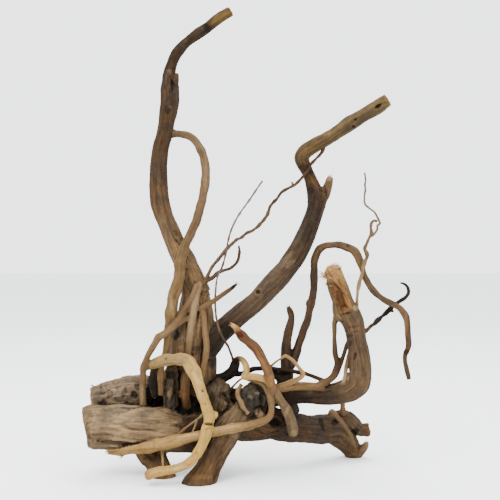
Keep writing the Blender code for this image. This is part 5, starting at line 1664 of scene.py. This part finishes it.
def roughen(tree, shader, weather, smoothest, roughest):
    """Roughness that follows the mottling."""
    rough = add_node(tree, "ShaderNodeMapRange", [("Value", weather.outputs["Mottle"])])
    value_in(rough, To_Min=smoothest, To_Max=roughest)
    tree.links.new(rough.outputs["Result"], shader.inputs["Roughness"])


def wood_material(name, streak, patch, pore, dirt_and_shade, wear, bump):
    made, tree, shader, place, weather = new_material(name)
    grain = use_group(tree, GRAIN, [("Address", attribute(tree, "grain", "Vector"))])
    colour = weathered_tone(tree, grain, weather, streak, patch, pore)
    colour = dirt_shade_and_wear(tree, colour, dirt_and_shade, wear)
    colour = with_sawn_ends(tree, colour, place)
    tree.links.new(colour, shader.inputs["Base Color"])
    roughen(tree, shader, weather, 0.72, 0.95)
    shader.inputs["Specular IOR Level"].default_value = WOOD_GLOSS
    pits = multiply(tree, weather.outputs["Pores"], PORE_DEPTH)
    height = calculate(tree, "SUBTRACT", grain.outputs["Height"], pits)
    bumped = add_node(tree, "ShaderNodeBump", [("Height", height)])
    value_in(bumped, Strength=bump, Distance=BUMP_DEPTH)
    tree.links.new(bumped.outputs["Normal"], shader.inputs["Normal"])
    print(made.name, len(tree.nodes), "nodes")
    return made


barked = wood_material("barked_wood", streak=0.85, patch=0.45, pore=0.8, dirt_and_shade=0.85, wear=0.5, bump=0.75)
bare = wood_material("bare_root", streak=0.5, patch=0.12, pore=0.6, dirt_and_shade=0.8, wear=0.35, bump=0.5)

# %% [markdown]
# Torn fibres were inside the wood until it broke, so they have no streaks, dirt, painted shade or wear, only
# their own tone and a soft mottling.

# %% Fibre material
def fibre_material():
    made, tree, shader, _, weather = new_material("torn_fibre")
    colour = shaded(tree, weather.outputs["Mottle"], attribute(tree, "tone", "Color"), FIBRE_MOTTLE)
    tree.links.new(colour, shader.inputs["Base Color"])
    roughen(tree, shader, weather, 0.7, 0.9)
    print(made.name, len(tree.nodes), "nodes")
    return made


fibres.data.materials.append(fibre_material())

# %% [markdown]
# Each face takes the bare or the barked wood, by what carving noted on its first corner. Two materials on
# one mesh keep the skin whole where a bare root grows out of a barked limb.

# %% Dress the wood
def dress(piece):
    """Bare wood on the bare limbs, barked wood on the rest."""
    piece.data.materials.clear()
    piece.data.materials.append(barked)
    piece.data.materials.append(bare)
    tagged = np.empty(len(piece.data.vertices), np.float32)
    piece.data.attributes["bare"].data.foreach_get("value", tagged)
    first = np.empty(len(piece.data.polygons), np.int32)
    piece.data.polygons.foreach_get("loop_start", first)
    corner = np.empty(len(piece.data.loops), np.int32)
    piece.data.loops.foreach_get("vertex_index", corner)
    is_bare = (tagged[corner[first]] > 0.5).astype(np.int32)
    piece.data.polygons.foreach_set("material_index", is_bare)
    print(piece.name, int(is_bare.sum()), "bare faces of", len(is_bare))


for piece in (*body, rootlets):
    dress(piece)

# %% [markdown]
# Last, every piece is tied to the frame: it rides on the root's one body and stands for the plain CAD root,
# which is hidden.

# %% Tie to the frame
CREASE = math.radians(60)  # edges sharper than this stay sharp, such as the rim of a sawn end

for piece in (*body, rootlets, fibres):
    pick(piece)
    bpy.ops.object.shade_smooth_by_angle(angle=CREASE)
    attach(piece, "root")
    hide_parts("spiderwood_root")
    print(piece.name, sum(len(p.vertices) - 2 for p in piece.data.polygons), "triangles")
